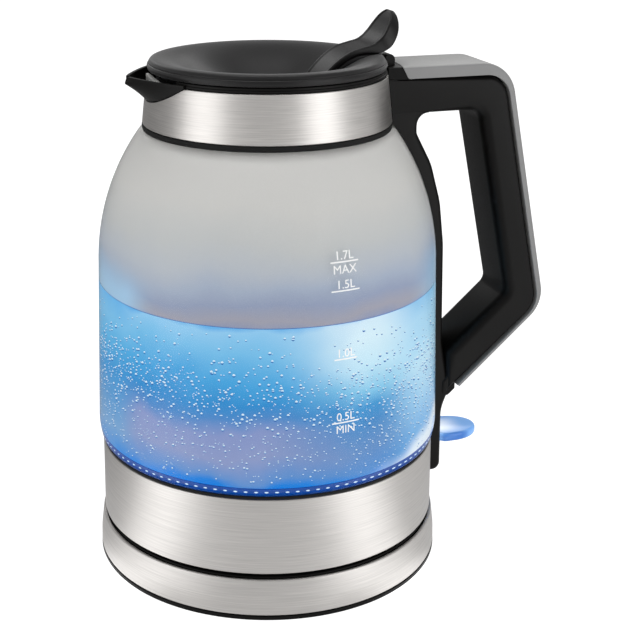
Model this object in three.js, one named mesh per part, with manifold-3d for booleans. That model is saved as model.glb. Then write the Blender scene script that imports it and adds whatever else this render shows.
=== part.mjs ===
// Cordless glass kettle on its power base, in millimetres.
// +Z is up, +X points along the handle, the spout points to -X.
// The origin is on the kettle's axis, in the plane that the base stands on.
import * as THREE from "three";
import { mergeVertices } from "three/addons/utils/BufferGeometryUtils.js";
import Module from "manifold-3d";

const wasm = await Module();
wasm.setup();

// ---- driving dimensions ----
const GAP = 0.4; // play between pieces that touch
const SEGMENTS = 40; // round the kettle's axis
const SMALL_SEGMENTS = 16; // round pins, feet and bores

// Power base
const BASE_R = 79.5;
const BASE_TOP_R = 78.0;
const BASE_SKIRT_Z = 2.3;
const BASE_TOP_Z = 18.5;
const BASE_PLATE_Z = 19.4;
const SKIRT_WALL = 1.2;
const TRAY_FLOOR = 2.6; // thickness
const TRAY_RIM_Z = 1.9; // top of the rim that carries the skirt
const TRAY_WALL_R = 77.6; // the low wall that centres the skirt
const TRAY_WALL_Z = 3.6;
const TRAY_WALL = 1.8; // thickness
const PLATE_R = 76.2;
const PLATE_LOW_Z = 16.8;
const PLATE_DISH_R = [22, 24]; // slope round the dish that holds the connector
const PLATE_DISH_Z = 18.4;
const FOOT_R = 7;
const FOOT_HIGH = 1.5;
const FOOT_ORBIT_R = 62;
const BASE_SCREW_ORBIT_R = 48;
const BASE_BOSS_R = 3.6;
const OUTLET_Z = 9;
const OUTLET_BORE_R = 2.2; // room for the mains cord
const OUTLET_R = 3.9;
const OUTLET_FLANGE_R = 5.2;
const OUTLET_Y = [70, 80.2, 82.4]; // inner end, flange and outer end

// Connector between the base and the jug
const CONNECTOR_R = 14.8;
const CONNECTOR_TOP_Z = 31;
const CONNECTOR_FOOT_R = 20;
const CONNECTOR_FOOT_Z = [9, 11];
const CONNECTOR_WELL_R = [5.2, 9.4]; // the ring-shaped well for the contact sleeve
const CONNECTOR_WELL_Z = 13;
const CONNECTOR_BORE_R = 2.2;
const CONTACT_LOW_Z = CONNECTOR_WELL_Z + GAP;
const SOCKET_R = 18.6;
const SOCKET_Z = 20.2;
const SOCKET_ROOF_Z = 32;
const SOCKET_TOP_Z = 34.6;
const SOCKET_PLAY = 0.8; // lets the jug turn and lift off

// Jug, from the bottom up
const JUG_BOTTOM_Z = 19.9;
const BOTTOM_R = 75.7; // the wall of the bottom cover inside the steel band
const BOTTOM_WALL_Z = [22.2, 24.4];
const BOTTOM_HOLE_R = 19.3;
const BAND_Z = 21.1;
const BAND_R = 77.2;
const BAND_TOP_Z = 55.7;
const BAND_TOP_R = 76.8;
const STEEL = 1.0; // sheet thickness of both steel bands
const SEAL_INNER_R = 73.4;
const HEATER_R = 74;
const HEATER_Z = [58.4, 60.4];
const SPREADER_R = 62;
const SPREADER_Z = [56.1, 58.0];
const LIGHT_RING_R = [66.5, 72.6];
const LIGHT_RING_Z = [51.5, 57.9];
const ELEMENT_R = 50;
const ELEMENT_TUBE_R = 3.2;
const ELEMENT_OPEN_HALF = THREE.MathUtils.degToRad(16);
const CONTROL_SIZE = [40, 34, 10.4];
const CONTROL_X = 4;
const CONTROL_Z = 35.2;
const LED_BOARD_R = [60, 70];
const LED_BOARD_Z = [47.6, 49.0];
const LED_SIZE = [3, 5, 1.6];
const LED_X = 67.5;
const GLASS_Z = 57.7;
const GLASS_FOOT_R = 77.3;
const GLASS_BULGE_R = 78.4;
const GLASS_BULGE_Z = 66;
const GLASS_TAPER = 0.0304; // radius lost per millimetre of height
const SHOULDER_Z = 141.5;
const SHOULDER_ARC_R = 102.5;
const SHOULDER_END_Z = 198.6;
const SHOULDER_STEPS = 7;
const GLASS_WALL = 2.8;
const GLASS_TOP_Z = 208.5;
const NECK_GLASS_R = 53.2;
const NECK_GLASS_WALL = 2.4;
const NECK_SEAL_Z = 199.2;
const NECK_BAND_Z = 202.3;
const NECK_BAND_R = 55.0;
const NECK_TOP_Z = 223.0;
const NECK_TOP_R = 52.7;
const COLLAR_TOP_Z = 225.2;
const COLLAR_R = 52.2;
const COLLAR_INNER_R = 49.6;

// Spout
const SPOUT_TIP_X = -62.9;
const SPOUT_RIM_Z = 224.4;
const SPOUT_LOW_Z = 213.6;
const SPOUT_HALF_ANGLE = THREE.MathUtils.degToRad(34);
const SPOUT_MOUTH_R = 53.6; // where the beak leaves the steel band
const SPOUT_WALL = 1.4;
const SPOUT_EDGE = 1.2; // upright part of the beak's sides
const SPOUT_LIP_HALF_WIDTH = 2.4;
const SPOUT_LIP_DEPTH = 2.0;
const SPOUT_COLUMNS = 12;
const FILTER_X = [-51.2, -50.0];
const FILTER_HALF_WIDTH = 12.8;
const FILTER_Z = [217.4, 223.2];
const FILTER_FRAME = 0.9;
const FILTER_PITCH = 4;
const FILTER_SLOT = 2.4;

// Lid
const RIM_R = 52.3;
const RIM_CREST_R = 48.85;
const RIM_CREST_Z = 230.4;
const RIM_LOW_Z = 225.6;
const BOWL_Z = 213.6;
const LID_SKIN = 2.0;
const PLUG_R = 46.8;
const PLUG_LOW_Z = 208.6;
const HINGE_X = 53.9;
const HINGE_Z = 227.4;
const KNUCKLE_R = 2.5;
const PIN_R = 1.2;
const LEVER_HALF_WIDTH = 11;
const LEVER_ROUND_Z = 237.8; // where the lever's round top starts
const LID_SCREW_ORBIT_R = 36;
const LID_SCREW_Z = 211.2;
const BRIDGE_HALF_WIDTH = 10.4;
const KNUCKLE_HALF_WIDTH = 4.8;
const EAR_Y = [5.4, 8.2]; // each hinge ear, to one side of the knuckle
const PLUG_SKIN = 2.2;
const GASKET_R = 48.9;
const GASKET_Z = [218.6, 222.2];

// Handle: its side view is drawn in X and Z
const HANDLE_HALF_WIDTH = 15;
const SPINE_HALF_WIDTH = 13.5;
const HANDLE_TOP_Z = 225.1;
const HANDLE_DEPTH = 21.6; // of the top arm
const GRIP_DEPTH = 18.3; // of the leg and the lower arm
const HANDLE_EDGE = 4; // rounding of the long edges
const LEG_POINT = [118.4, 182.7]; // a point on the leg's outer face
const LEG_LEAN = 0.202; // outwards per millimetre down
const ARM_POINT = [106.2, 83.6]; // a point on the lower arm's outer face
const ARM_SLOPE = 0.915;
const COVER_START_R = 61.5;
const COVER_TOP = 5.4; // depth of the cover on the top arm
const COVER_SIDE = 2.8; // depth of the cover on the leg and the lower arm
const GRIP_START_X = 75.4;
const BOSS_X = 87.2; // where the lower arm plugs on to the spine
const SPINE_FOOT = [83.9, 27];
const SPINE_BACK = [[82.6, 93], [81.4, 142], [79.0, 162], [74.0, 180]]; // its outer line, upwards
const SPINE_THROAT_X = 66.4; // under the top arm
const TUBE_R = 0.9; // steam tube
const TUBE_CHANNEL_HALF_WIDTH = 2.2;
const UPPER_SCREW_Z = 211.4;
const LOWER_SCREW_Z = 31.5;

// Switch
const SWITCH_X = 71;
const SWITCH_Z = 41;
const SWITCH_TIP_X = 106.5;
const SWITCH_HALF_WIDTH = 11;
const SWITCH_THICK = 4.4;
const SWITCH_ROOT = [79, 9]; // X of the paddle's root and half its width there
const SWITCH_BEND_X = 92; // where the rounded end starts
const ROCKER_HALF_WIDTH = 7.6;
const ROCKER_R = 3.2;

// Screws, drawn head down: the head's radius, its two faces, the shank's radius and its end
const SCREW_SIDES = 12;
const SCREW_PLAY = 0.5;
const BASE_SCREW = { headR: 3.0, headZ: 0.5, neckZ: 1.2, shankR: 1.4, endZ: 11 };
const LID_SCREW = { headR: 2.6, headZ: 0, neckZ: 1.4, shankR: 1.2, endZ: 5 };
const UPPER_SCREW = { headR: 2.6, headZ: 0, neckZ: 1.0, shankR: 1.4, endZ: 14 };
const LOWER_SCREW = { headR: 2.6, headZ: 0, neckZ: 1.0, shankR: 1.4, endZ: 7.6 };

// ---- colours and finishes ----
const finish = (color, roughness, metalness = 0) =>
  new THREE.MeshStandardMaterial({ color, roughness, metalness });
const blackPlastic = () => finish(0x151516, 0.45);
const brushedSteel = () => finish(0xb9b5b0, 0.32, 1);
const brass = () => finish(0xc9a24a, 0.3, 1);
const rubber = () => finish(0x202022, 0.85);
const greyTrim = () => finish(0x9b9a97, 0.38, 0.6);
const clearBlue = () => finish(0x3f7fe0, 0.12);
const aluminium = () => finish(0xbfc2c4, 0.5, 1);
const elementSteel = () => finish(0x6f7174, 0.6, 1);
const darkPlastic = () => finish(0x2b2b2d, 0.6);
const circuitBoard = () => finish(0x1f5b34, 0.6);
const whitePlastic = () => finish(0xdadada, 0.5);
const silicone = () => finish(0x8d8d8d, 0.7);
const tubing = () => finish(0xe6e6e2, 0.6);
const glassMaterial = () => {
  const material = finish(0xd8e6ee, 0.05);
  material.transparent = true;
  material.opacity = 0.35;
  return material;
};

// ---- helpers ----
const kettle = new THREE.Group();
kettle.name = "electric_kettle";

function place(name, geometry, material) {
  const mesh = new THREE.Mesh(geometry, material);
  mesh.name = name;
  kettle.add(mesh);
  return mesh;
}

// A closed mesh as a solid that can be joined and cut.
function toSolid(geometry) {
  const bare = geometry.index ? geometry.toNonIndexed() : geometry.clone();
  bare.deleteAttribute("normal");
  bare.deleteAttribute("uv");
  const merged = mergeVertices(bare, 1e-4);
  const mesh = new wasm.Mesh({
    numProp: 3,
    vertProperties: merged.attributes.position.array,
    triVerts: new Uint32Array(merged.index.array),
  });
  return new wasm.Manifold(mesh);
}

function toGeometry(solid) {
  const mesh = solid.getMesh();
  const geometry = new THREE.BufferGeometry();
  geometry.setAttribute("position", new THREE.BufferAttribute(mesh.vertProperties, 3));
  geometry.setIndex(new THREE.BufferAttribute(mesh.triVerts, 1));
  return geometry;
}

const cut = (geometry, ...tools) =>
  toGeometry(tools.reduce((solid, tool) => solid.subtract(toSolid(tool)), toSolid(geometry)));
const join = (geometry, ...others) =>
  toGeometry(others.reduce((solid, other) => solid.add(toSolid(other)), toSolid(geometry)));
const common = (geometry, other) => toGeometry(toSolid(geometry).intersect(toSolid(other)));

// A profile of [radius, height] points, turned round the Z axis.
function turned(profile, segments = SEGMENTS) {
  let area = 0;
  profile.forEach(([r, z], i) => {
    const [r2, z2] = profile[(i + 1) % profile.length];
    area += r * z2 - r2 * z;
  });
  const ordered = area > 0 ? [...profile] : [...profile].reverse();
  const onAxis = ordered.filter(([r]) => r === 0).length === 2;
  if (onAxis) {
    while (!(ordered[0][0] === 0 && ordered[ordered.length - 1][0] === 0)) {
      ordered.push(ordered.shift());
    }
  } else {
    ordered.push(ordered[0]);
  }
  const points = ordered.map(([r, z]) => new THREE.Vector2(r, z));
  return new THREE.LatheGeometry(points, segments).rotateX(Math.PI / 2);
}

// A plate between two heights, from the axis or from an inner radius outwards.
const disc = (radius, low, high, segments = SMALL_SEGMENTS) =>
  new THREE.CylinderGeometry(radius, radius, high - low, segments)
    .rotateX(Math.PI / 2)
    .translate(0, 0, (low + high) / 2);
const ring = (inner, outer, low, high, segments = SEGMENTS) =>
  turned([[inner, low], [outer, low], [outer, high], [inner, high]], segments);

const block = (x, y, z) =>
  new THREE.BoxGeometry(x[1] - x[0], y[1] - y[0], z[1] - z[0])
    .translate((x[0] + x[1]) / 2, (y[0] + y[1]) / 2, (z[0] + z[1]) / 2);

// A pin along Y with its centre at (x, z).
const crossPin = (radius, x, z, low, high) =>
  new THREE.CylinderGeometry(radius, radius, high - low, SMALL_SEGMENTS)
    .translate(0, (low + high) / 2, 0)
    .translate(x, 0, z);

// A pin along X with its centre at (y, z).
const longPin = (radius, y, z, low, high) =>
  new THREE.CylinderGeometry(radius, radius, high - low, SMALL_SEGMENTS)
    .rotateZ(Math.PI / 2)
    .translate((low + high) / 2, y, z);

// A closed outline from corners [x, z, rounding].
function roundedOutline(corners, arcSteps = 4) {
  const points = [];
  corners.forEach(([x, z, radius = 0], i) => {
    const here = new THREE.Vector2(x, z);
    if (radius === 0) {
      points.push(here);
      return;
    }
    const before = corners[(i + corners.length - 1) % corners.length];
    const after = corners[(i + 1) % corners.length];
    const back = new THREE.Vector2(before[0], before[1]).sub(here).normalize();
    const on = new THREE.Vector2(after[0], after[1]).sub(here).normalize();
    const half = Math.acos(THREE.MathUtils.clamp(back.dot(on), -1, 1)) / 2;
    const reach = radius / Math.tan(half);
    const centre = back.clone().add(on).normalize().multiplyScalar(radius / Math.sin(half)).add(here);
    const start = here.clone().addScaledVector(back, reach).sub(centre);
    const end = here.clone().addScaledVector(on, reach).sub(centre);
    const sweep = Math.PI - 2 * half;
    const turn = Math.sign(start.x * end.y - start.y * end.x);
    for (let k = 0; k <= arcSteps; k += 1) {
      const angle = (turn * sweep * k) / arcSteps;
      points.push(start.clone().rotateAround(new THREE.Vector2(), angle).add(centre));
    }
  });
  return new THREE.Shape(points);
}

// A rod of round section along a curve.
function tubeAlong(curve, radius, steps) {
  const section = new THREE.Shape().absarc(0, 0, radius, 0, 2 * Math.PI);
  return new THREE.ExtrudeGeometry(section, {
    steps,
    curveSegments: 4,
    bevelEnabled: false,
    extrudePath: curve,
  });
}

// A side view in X and Z, given a width along Y, with its long edges rounded.
function sideExtrusion(shape, halfWidth, edge = 0, edgeSteps = 2) {
  const geometry = new THREE.ExtrudeGeometry(shape, {
    depth: 2 * (halfWidth - edge),
    bevelEnabled: edge > 0,
    bevelThickness: edge,
    bevelSize: edge,
    bevelOffset: -edge,
    bevelSegments: edgeSteps,
    steps: 1,
  });
  return geometry.translate(0, 0, -(halfWidth - edge)).rotateX(Math.PI / 2);
}

// A pan-head screw with its head down and its shank up.
const screw = ({ headR, headZ, neckZ, shankR, endZ }) =>
  turned([
    [0, headZ], [headR, headZ], [headR, neckZ], [shankR, neckZ], [shankR, endZ], [0, endZ],
  ], SCREW_SIDES);

// ---- power base ----
const quarter = (k) => Math.PI / 4 + (k * Math.PI) / 2;
const third = (k) => Math.PI / 6 + (k * 2 * Math.PI) / 3;
const orbit = (radius, angle) => [radius * Math.cos(angle), radius * Math.sin(angle), 0];

function makeBase() {
  const wallInnerR = TRAY_WALL_R - TRAY_WALL;
  const tray = turned([
    [0, 0], [BASE_R, 0], [BASE_R - 0.1, TRAY_RIM_Z], [TRAY_WALL_R, TRAY_RIM_Z], [TRAY_WALL_R, TRAY_WALL_Z],
    [wallInnerR, TRAY_WALL_Z], [wallInnerR, TRAY_FLOOR], [0, TRAY_FLOOR],
  ]);
  const footPockets = [0, 1, 2, 3].map((k) =>
    disc(FOOT_R + GAP, -1, FOOT_HIGH + GAP).translate(...orbit(FOOT_ORBIT_R, quarter(k))));
  const pocketR = BASE_SCREW.headR + SCREW_PLAY;
  const holeR = BASE_SCREW.shankR + SCREW_PLAY;
  const pocketZ = BASE_SCREW.neckZ + 0.3;
  const screwPockets = [0, 1, 2].map((k) =>
    turned([[0, -1], [pocketR, -1], [pocketR, pocketZ], [holeR, pocketZ], [holeR, 4], [0, 4]], SCREW_SIDES)
      .translate(...orbit(BASE_SCREW_ORBIT_R, third(k))));
  place("base_bottom_cover", cut(tray, ...footPockets, ...screwPockets), blackPlastic());

  for (let k = 0; k < 4; k += 1) {
    const chamfer = 0.6;
    const foot = turned([
      [0, 0], [FOOT_R - chamfer, 0], [FOOT_R, chamfer], [FOOT_R, FOOT_HIGH], [0, FOOT_HIGH],
    ], SMALL_SEGMENTS);
    place(`base_foot_${k + 1}`, foot, rubber()).position.set(...orbit(FOOT_ORBIT_R, quarter(k)));
  }
  for (let k = 0; k < 3; k += 1) {
    place(`base_screw_${k + 1}`, screw(BASE_SCREW), brushedSteel())
      .position.set(...orbit(BASE_SCREW_ORBIT_R, third(k)));
  }

  const skirtR = BASE_R - 0.2;
  const skirtEdge = 0.6;
  const skirt = turned([
    [skirtR - SKIRT_WALL, BASE_SKIRT_Z], [skirtR, BASE_SKIRT_Z], [BASE_TOP_R, BASE_TOP_Z - skirtEdge],
    [BASE_TOP_R - skirtEdge, BASE_TOP_Z], [BASE_TOP_R - SKIRT_WALL, BASE_TOP_Z],
  ]);
  const outletHole = crossPin(OUTLET_R + GAP, 0, OUTLET_Z, OUTLET_Y[0], BASE_R + 10);
  place("base_skirt", cut(skirt, outletHole), brushedSteel());

  const [outletIn, flangeY, outletOut] = OUTLET_Y;
  const outlet = turned([
    [OUTLET_BORE_R, outletIn], [OUTLET_R, outletIn], [OUTLET_R, flangeY], [OUTLET_FLANGE_R, flangeY],
    [OUTLET_FLANGE_R - 0.6, outletOut], [OUTLET_BORE_R, outletOut],
  ], SMALL_SEGMENTS).rotateX(-Math.PI / 2).translate(0, 0, OUTLET_Z);
  place("cord_outlet", outlet, blackPlastic());

  const plateHoleR = CONNECTOR_R + 0.6;
  const plate = turned([
    [plateHoleR, PLATE_LOW_Z], [PLATE_R - 1.6, PLATE_LOW_Z], [PLATE_R, PLATE_LOW_Z + 0.8],
    [PLATE_R, BASE_PLATE_Z - 0.6], [PLATE_R - 0.8, BASE_PLATE_Z], [PLATE_DISH_R[1], BASE_PLATE_Z],
    [PLATE_DISH_R[0], PLATE_DISH_Z], [plateHoleR, PLATE_DISH_Z],
  ]);
  const bosses = [0, 1, 2].map((k) =>
    disc(BASE_BOSS_R, TRAY_FLOOR + 0.6, PLATE_LOW_Z + 0.2, SCREW_SIDES)
      .translate(...orbit(BASE_SCREW_ORBIT_R, third(k))));
  const bossBores = [0, 1, 2].map((k) =>
    disc(BASE_SCREW.shankR + GAP, TRAY_FLOOR + GAP, BASE_SCREW.endZ + 1, SCREW_SIDES)
      .translate(...orbit(BASE_SCREW_ORBIT_R, third(k))));
  place("base_top_cover", cut(join(plate, ...bosses), ...bossBores), blackPlastic());

  const [footLow, footHigh] = CONNECTOR_FOOT_Z;
  const [wellInner, wellOuter] = CONNECTOR_WELL_R;
  const coreTop = CONNECTOR_TOP_Z - 1;
  const tower = turned([
    [0, footLow], [CONNECTOR_FOOT_R, footLow], [CONNECTOR_FOOT_R, footHigh], [CONNECTOR_R, footHigh],
    [CONNECTOR_R, coreTop], [CONNECTOR_R - 1, CONNECTOR_TOP_Z], [wellOuter, CONNECTOR_TOP_Z],
    [wellOuter, CONNECTOR_WELL_Z], [wellInner, CONNECTOR_WELL_Z], [wellInner, coreTop],
    [CONNECTOR_BORE_R, coreTop], [CONNECTOR_BORE_R, CONNECTOR_WELL_Z], [0, CONNECTOR_WELL_Z],
  ], 24);
  place("base_connector", tower, blackPlastic());
  place("base_contact_pin", disc(CONNECTOR_BORE_R - 0.6, CONTACT_LOW_Z, 28, SCREW_SIDES), brass());
  const contactR = wellOuter - GAP;
  place("base_contact_ring", ring(contactR - 0.8, contactR, CONTACT_LOW_Z, 27, 24), brass());
}

// ---- jug-side coupler ----
function makeCoupler() {
  const bore = CONNECTOR_R + SOCKET_PLAY;
  const cup = turned([
    [bore, SOCKET_Z], [SOCKET_R, SOCKET_Z], [SOCKET_R, SOCKET_TOP_Z - 1], [SOCKET_R - 1, SOCKET_TOP_Z],
    [0, SOCKET_TOP_Z], [0, SOCKET_ROOF_Z], [bore, SOCKET_ROOF_Z],
  ], 24);
  place("jug_socket", cup, blackPlastic());
  const sleeveR = CONNECTOR_WELL_R[0] + 1.2;
  place("socket_contact_sleeve", ring(sleeveR, sleeveR + 0.8, 16, SOCKET_ROOF_Z - GAP, 24), brass());
}

// ---- jug ----
// Outer radius of the glass wall at a height.
function glassR(z) {
  const angle = Math.atan(GLASS_TAPER);
  const startR = GLASS_BULGE_R - GLASS_TAPER * (SHOULDER_Z - GLASS_BULGE_Z);
  if (z < SHOULDER_Z) return GLASS_BULGE_R - GLASS_TAPER * (z - GLASS_BULGE_Z);
  const centreZ = SHOULDER_Z - SHOULDER_ARC_R * Math.sin(angle);
  const centreR = startR - SHOULDER_ARC_R * Math.cos(angle);
  return centreR + Math.sqrt(SHOULDER_ARC_R ** 2 - (z - centreZ) ** 2);
}

// The glass wall's outer line, moved outwards by a distance.
function glassLine(out = 0) {
  const line = [[GLASS_FOOT_R + out, GLASS_Z], [GLASS_BULGE_R + out, GLASS_BULGE_Z]];
  for (let k = 0; k <= SHOULDER_STEPS; k += 1) {
    const z = SHOULDER_Z + ((SHOULDER_END_Z - SHOULDER_Z) * k) / SHOULDER_STEPS;
    const slope = Math.max(0, (z - SHOULDER_Z) / SHOULDER_ARC_R);
    line.push([glassR(z) + out * Math.cos(slope), z + out * Math.sin(slope)]);
  }
  return line;
}

// The jug's outer surface grown by a distance, as one closed solid.
function jugEnvelope(out) {
  const aboveLid = HANDLE_TOP_Z + 7;
  return turned([
    [0, 10], [BAND_R + out, 10], [BAND_R + out, BAND_Z], [BAND_TOP_R + 0.2 + out, BAND_TOP_Z + 1],
    ...glassLine(out), [NECK_BAND_R + 0.3 + out, NECK_SEAL_Z + out / 2],
    [NECK_BAND_R + 0.2 + out, NECK_BAND_Z], [NECK_TOP_R + out, NECK_TOP_Z], [NECK_TOP_R + out, aboveLid],
    [0, aboveLid],
  ]);
}

function makeJugBottom() {
  const [floorTop, wallTop] = BOTTOM_WALL_Z;
  const wallInnerR = BOTTOM_R - 1.9;
  place("jug_bottom_cover", turned([
    [BOTTOM_HOLE_R, JUG_BOTTOM_Z], [BOTTOM_R - 0.1, JUG_BOTTOM_Z], [BOTTOM_R + 0.7, JUG_BOTTOM_Z + 0.8],
    [BOTTOM_R, BAND_Z], [BOTTOM_R, wallTop], [wallInnerR, wallTop], [wallInnerR, floorTop],
    [BOTTOM_HOLE_R, floorTop],
  ]), blackPlastic());

  const band = turned([
    [BAND_R - STEEL, BAND_Z], [BAND_R, BAND_Z], [BAND_TOP_R, BAND_TOP_Z], [BAND_TOP_R - STEEL, BAND_TOP_Z],
  ]);
  const leverSlot = block([70, 90], [-9.4, 9.4], [SWITCH_Z - 6, SWITCH_Z + 9]);
  const lowerScrewHole = longPin(LOWER_SCREW.shankR + SCREW_PLAY, 0, LOWER_SCREW_Z, 70, 90);
  place("lower_band", cut(band, leverSlot, lowerScrewHole), brushedSteel());

  const sealZ = [BAND_TOP_Z + 0.3, GLASS_Z - 0.3];
  place("lower_seal", turned([
    [SEAL_INNER_R, sealZ[0]], [BAND_TOP_R - 0.1, sealZ[0]], [GLASS_FOOT_R - 0.3, sealZ[1]],
    [SEAL_INNER_R, sealZ[1]],
  ]), rubber());
  place("heater_plate", disc(HEATER_R, ...HEATER_Z, SEGMENTS), brushedSteel());
  place("heat_spreader", disc(SPREADER_R, ...SPREADER_Z, SEGMENTS), aluminium());
  place("light_ring", ring(...LIGHT_RING_R, ...LIGHT_RING_Z), clearBlue());

  // The element is an open ring of tube with a cold pin at each end.
  const elementZ = SPREADER_Z[0] - GAP - ELEMENT_TUBE_R;
  const turns = 18;
  const arc = new THREE.CatmullRomCurve3(
    Array.from({ length: turns + 1 }, (_, k) => {
      const angle = ELEMENT_OPEN_HALF + (k * 2 * (Math.PI - ELEMENT_OPEN_HALF)) / turns;
      return new THREE.Vector3(ELEMENT_R * Math.cos(angle), ELEMENT_R * Math.sin(angle), elementZ);
    }),
  );
  place("heating_element", tubeAlong(arc, ELEMENT_TUBE_R, 24), elementSteel());
  const pinOrbitR = ELEMENT_R - ELEMENT_TUBE_R - 3;
  [ELEMENT_OPEN_HALF, -ELEMENT_OPEN_HALF].forEach((angle, k) => {
    place(`element_pin_${k + 1}`, disc(1.6, 46.4, 54, 10), brass())
      .position.set(...orbit(pinOrbitR, angle));
  });

  const [long, wide, high] = CONTROL_SIZE;
  const control = block(
    [CONTROL_X - long / 2, CONTROL_X + long / 2], [-wide / 2, wide / 2], [CONTROL_Z, CONTROL_Z + high]);
  place("control_unit", control, darkPlastic());
  const controlTop = CONTROL_Z + high;
  place("bimetal_disc", disc(6, controlTop + 0.6, controlTop + 1.4), brass());
  place("led_board", ring(...LED_BOARD_R, ...LED_BOARD_Z), circuitBoard());
  const [ledLong, ledWide, ledHigh] = LED_SIZE;
  const ledZ = LED_BOARD_Z[1] + GAP;
  for (let k = 0; k < 4; k += 1) {
    const led = block(
      [LED_X - ledLong / 2, LED_X + ledLong / 2], [-ledWide / 2, ledWide / 2], [ledZ, ledZ + ledHigh]);
    place(`led_${k + 1}`, led.rotateZ(quarter(k)), clearBlue());
  }
}

function makeGlass() {
  const inside = glassLine(-GLASS_WALL).reverse();
  const neckInside = NECK_GLASS_R - NECK_GLASS_WALL;
  place("glass_body", turned([
    ...glassLine(), [NECK_BAND_R, NECK_SEAL_Z], [NECK_GLASS_R, NECK_SEAL_Z], [NECK_GLASS_R, GLASS_TOP_Z],
    [neckInside, GLASS_TOP_Z], [neckInside, NECK_SEAL_Z - 1], ...inside,
  ]), glassMaterial());
}

// A closed solid lofted through sections with the same number of points, each section a closed loop.
function loft(sections) {
  const count = sections[0].length;
  const faces = [];
  for (let s = 0; s + 1 < sections.length; s += 1) {
    for (let i = 0; i < count; i += 1) {
      const a = s * count + i;
      const b = s * count + ((i + 1) % count);
      faces.push(a, b, b + count, a, b + count, a + count);
    }
  }
  const last = (sections.length - 1) * count;
  for (let i = 1; i + 1 < count; i += 1) {
    faces.push(0, i + 1, i, last, last + i, last + i + 1);
  }
  const geometry = new THREE.BufferGeometry();
  geometry.setAttribute("position", new THREE.Float32BufferAttribute(sections.flat(2), 3));
  geometry.setIndex(faces);
  const solid = toSolid(geometry);
  if (solid.volume() > 0) return geometry;
  for (let i = 0; i < faces.length; i += 3) {
    [faces[i + 1], faces[i + 2]] = [faces[i + 2], faces[i + 1]];
  }
  return geometry.setIndex(faces);
}

// The spout as a solid beak: an arc on the collar drawn out to a narrow lip at the tip.
// grow makes the beak fatter, top is its upper plane and rootR is how far in it starts.
function beak(grow, top, rootR) {
  const half = SPOUT_HALF_ANGLE + grow / SPOUT_MOUTH_R;
  const edgeZ = SPOUT_RIM_Z - SPOUT_EDGE;
  const depth = edgeZ - SPOUT_LOW_Z + grow;
  const sides = Array.from({ length: SPOUT_COLUMNS + 1 }, (_, c) => (2 * c) / SPOUT_COLUMNS - 1);
  const dip = (side) => 1 - Math.abs(side) ** 1.8;
  const close = (points) => {
    const [first, last] = [points[0], points[points.length - 1]];
    return [...points, [last[0], last[1], top], [first[0], first[1], top]];
  };
  const arc = (radius) => close(sides.map((side) => {
    const angle = Math.PI + side * half;
    return [radius * Math.cos(angle), radius * Math.sin(angle), edgeZ - depth * dip(side)];
  }));
  const lip = close(sides.map((side) => [
    SPOUT_TIP_X - grow + 0.9 * side * side,
    -side * (SPOUT_LIP_HALF_WIDTH + grow),
    edgeZ - (SPOUT_LIP_DEPTH + grow) * dip(side),
  ]));
  return loft([arc(rootR), arc(SPOUT_MOUTH_R), lip]);
}

function makeNeck() {
  const sealInnerR = NECK_GLASS_R + GAP;
  place("neck_seal", turned([
    [sealInnerR, NECK_SEAL_Z + GAP], [NECK_BAND_R - 0.1, NECK_SEAL_Z + GAP],
    [NECK_BAND_R + 0.2, NECK_BAND_Z - 0.3], [sealInnerR, NECK_BAND_Z - 0.3],
  ]), rubber());

  const bandTop = NECK_TOP_Z - 0.2;
  const band = turned([
    [NECK_BAND_R - STEEL, NECK_BAND_Z], [NECK_BAND_R, NECK_BAND_Z], [NECK_TOP_R, bandTop],
    [NECK_TOP_R - STEEL, bandTop],
  ]);
  const spoutOpening = beak(1.5 * GAP, 226, COLLAR_INNER_R - 2);
  const upperScrewHole = longPin(UPPER_SCREW.shankR + SCREW_PLAY, 0, UPPER_SCREW_Z, 50, 60);
  place("neck_band", cut(band, spoutOpening, upperScrewHole), brushedSteel());

  const tubeR = COLLAR_R - 1.0;
  const tubeLow = GLASS_TOP_Z + GAP;
  const flangeZ = NECK_TOP_Z + 0.2;
  const flangeEdge = 0.4;
  const tube = turned([
    [COLLAR_INNER_R, tubeLow], [tubeR, tubeLow], [tubeR, flangeZ], [COLLAR_R, flangeZ],
    [COLLAR_R, COLLAR_TOP_Z - flangeEdge], [COLLAR_R - flangeEdge, COLLAR_TOP_Z],
    [COLLAR_INNER_R, COLLAR_TOP_Z],
  ]);
  const outside = beak(0, SPOUT_RIM_Z, COLLAR_INNER_R + 0.6);
  const hollow = beak(-SPOUT_WALL, COLLAR_TOP_Z + 2, COLLAR_INNER_R - 5);
  const bore = disc(COLLAR_INNER_R, GLASS_TOP_Z - 1, COLLAR_TOP_Z + 1, SEGMENTS);
  place("neck_collar", cut(join(tube, outside), hollow, bore), blackPlastic());

  // The filter is a framed grille across the spout's mouth.
  const slotZ = [FILTER_Z[0] + FILTER_FRAME - 0.1, FILTER_Z[1] - FILTER_FRAME - 0.1];
  const slots = Array.from({ length: 6 }, (_, k) => {
    const y = (k - 2.5) * FILTER_PITCH;
    return block([-60, -40], [y - FILTER_SLOT / 2, y + FILTER_SLOT / 2], slotZ);
  });
  const plate = block(FILTER_X, [-FILTER_HALF_WIDTH, FILTER_HALF_WIDTH], FILTER_Z);
  place("spout_filter", cut(plate, ...slots), whitePlastic());
}

// ---- handle ----
const legX = (z, inset) => LEG_POINT[0] - inset + (LEG_POINT[1] - z) * LEG_LEAN;

// Where the leg's line and the lower arm's line meet, each moved inwards by an inset.
function lowerCorner(inset) {
  const lift = inset * Math.hypot(1, ARM_SLOPE);
  const armZ0 = ARM_POINT[1] + lift - ARM_SLOPE * ARM_POINT[0];
  const x = (LEG_POINT[0] - inset + LEG_LEAN * (LEG_POINT[1] - armZ0)) / (1 + LEG_LEAN * ARM_SLOPE);
  return [x, armZ0 + ARM_SLOPE * x];
}

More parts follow.
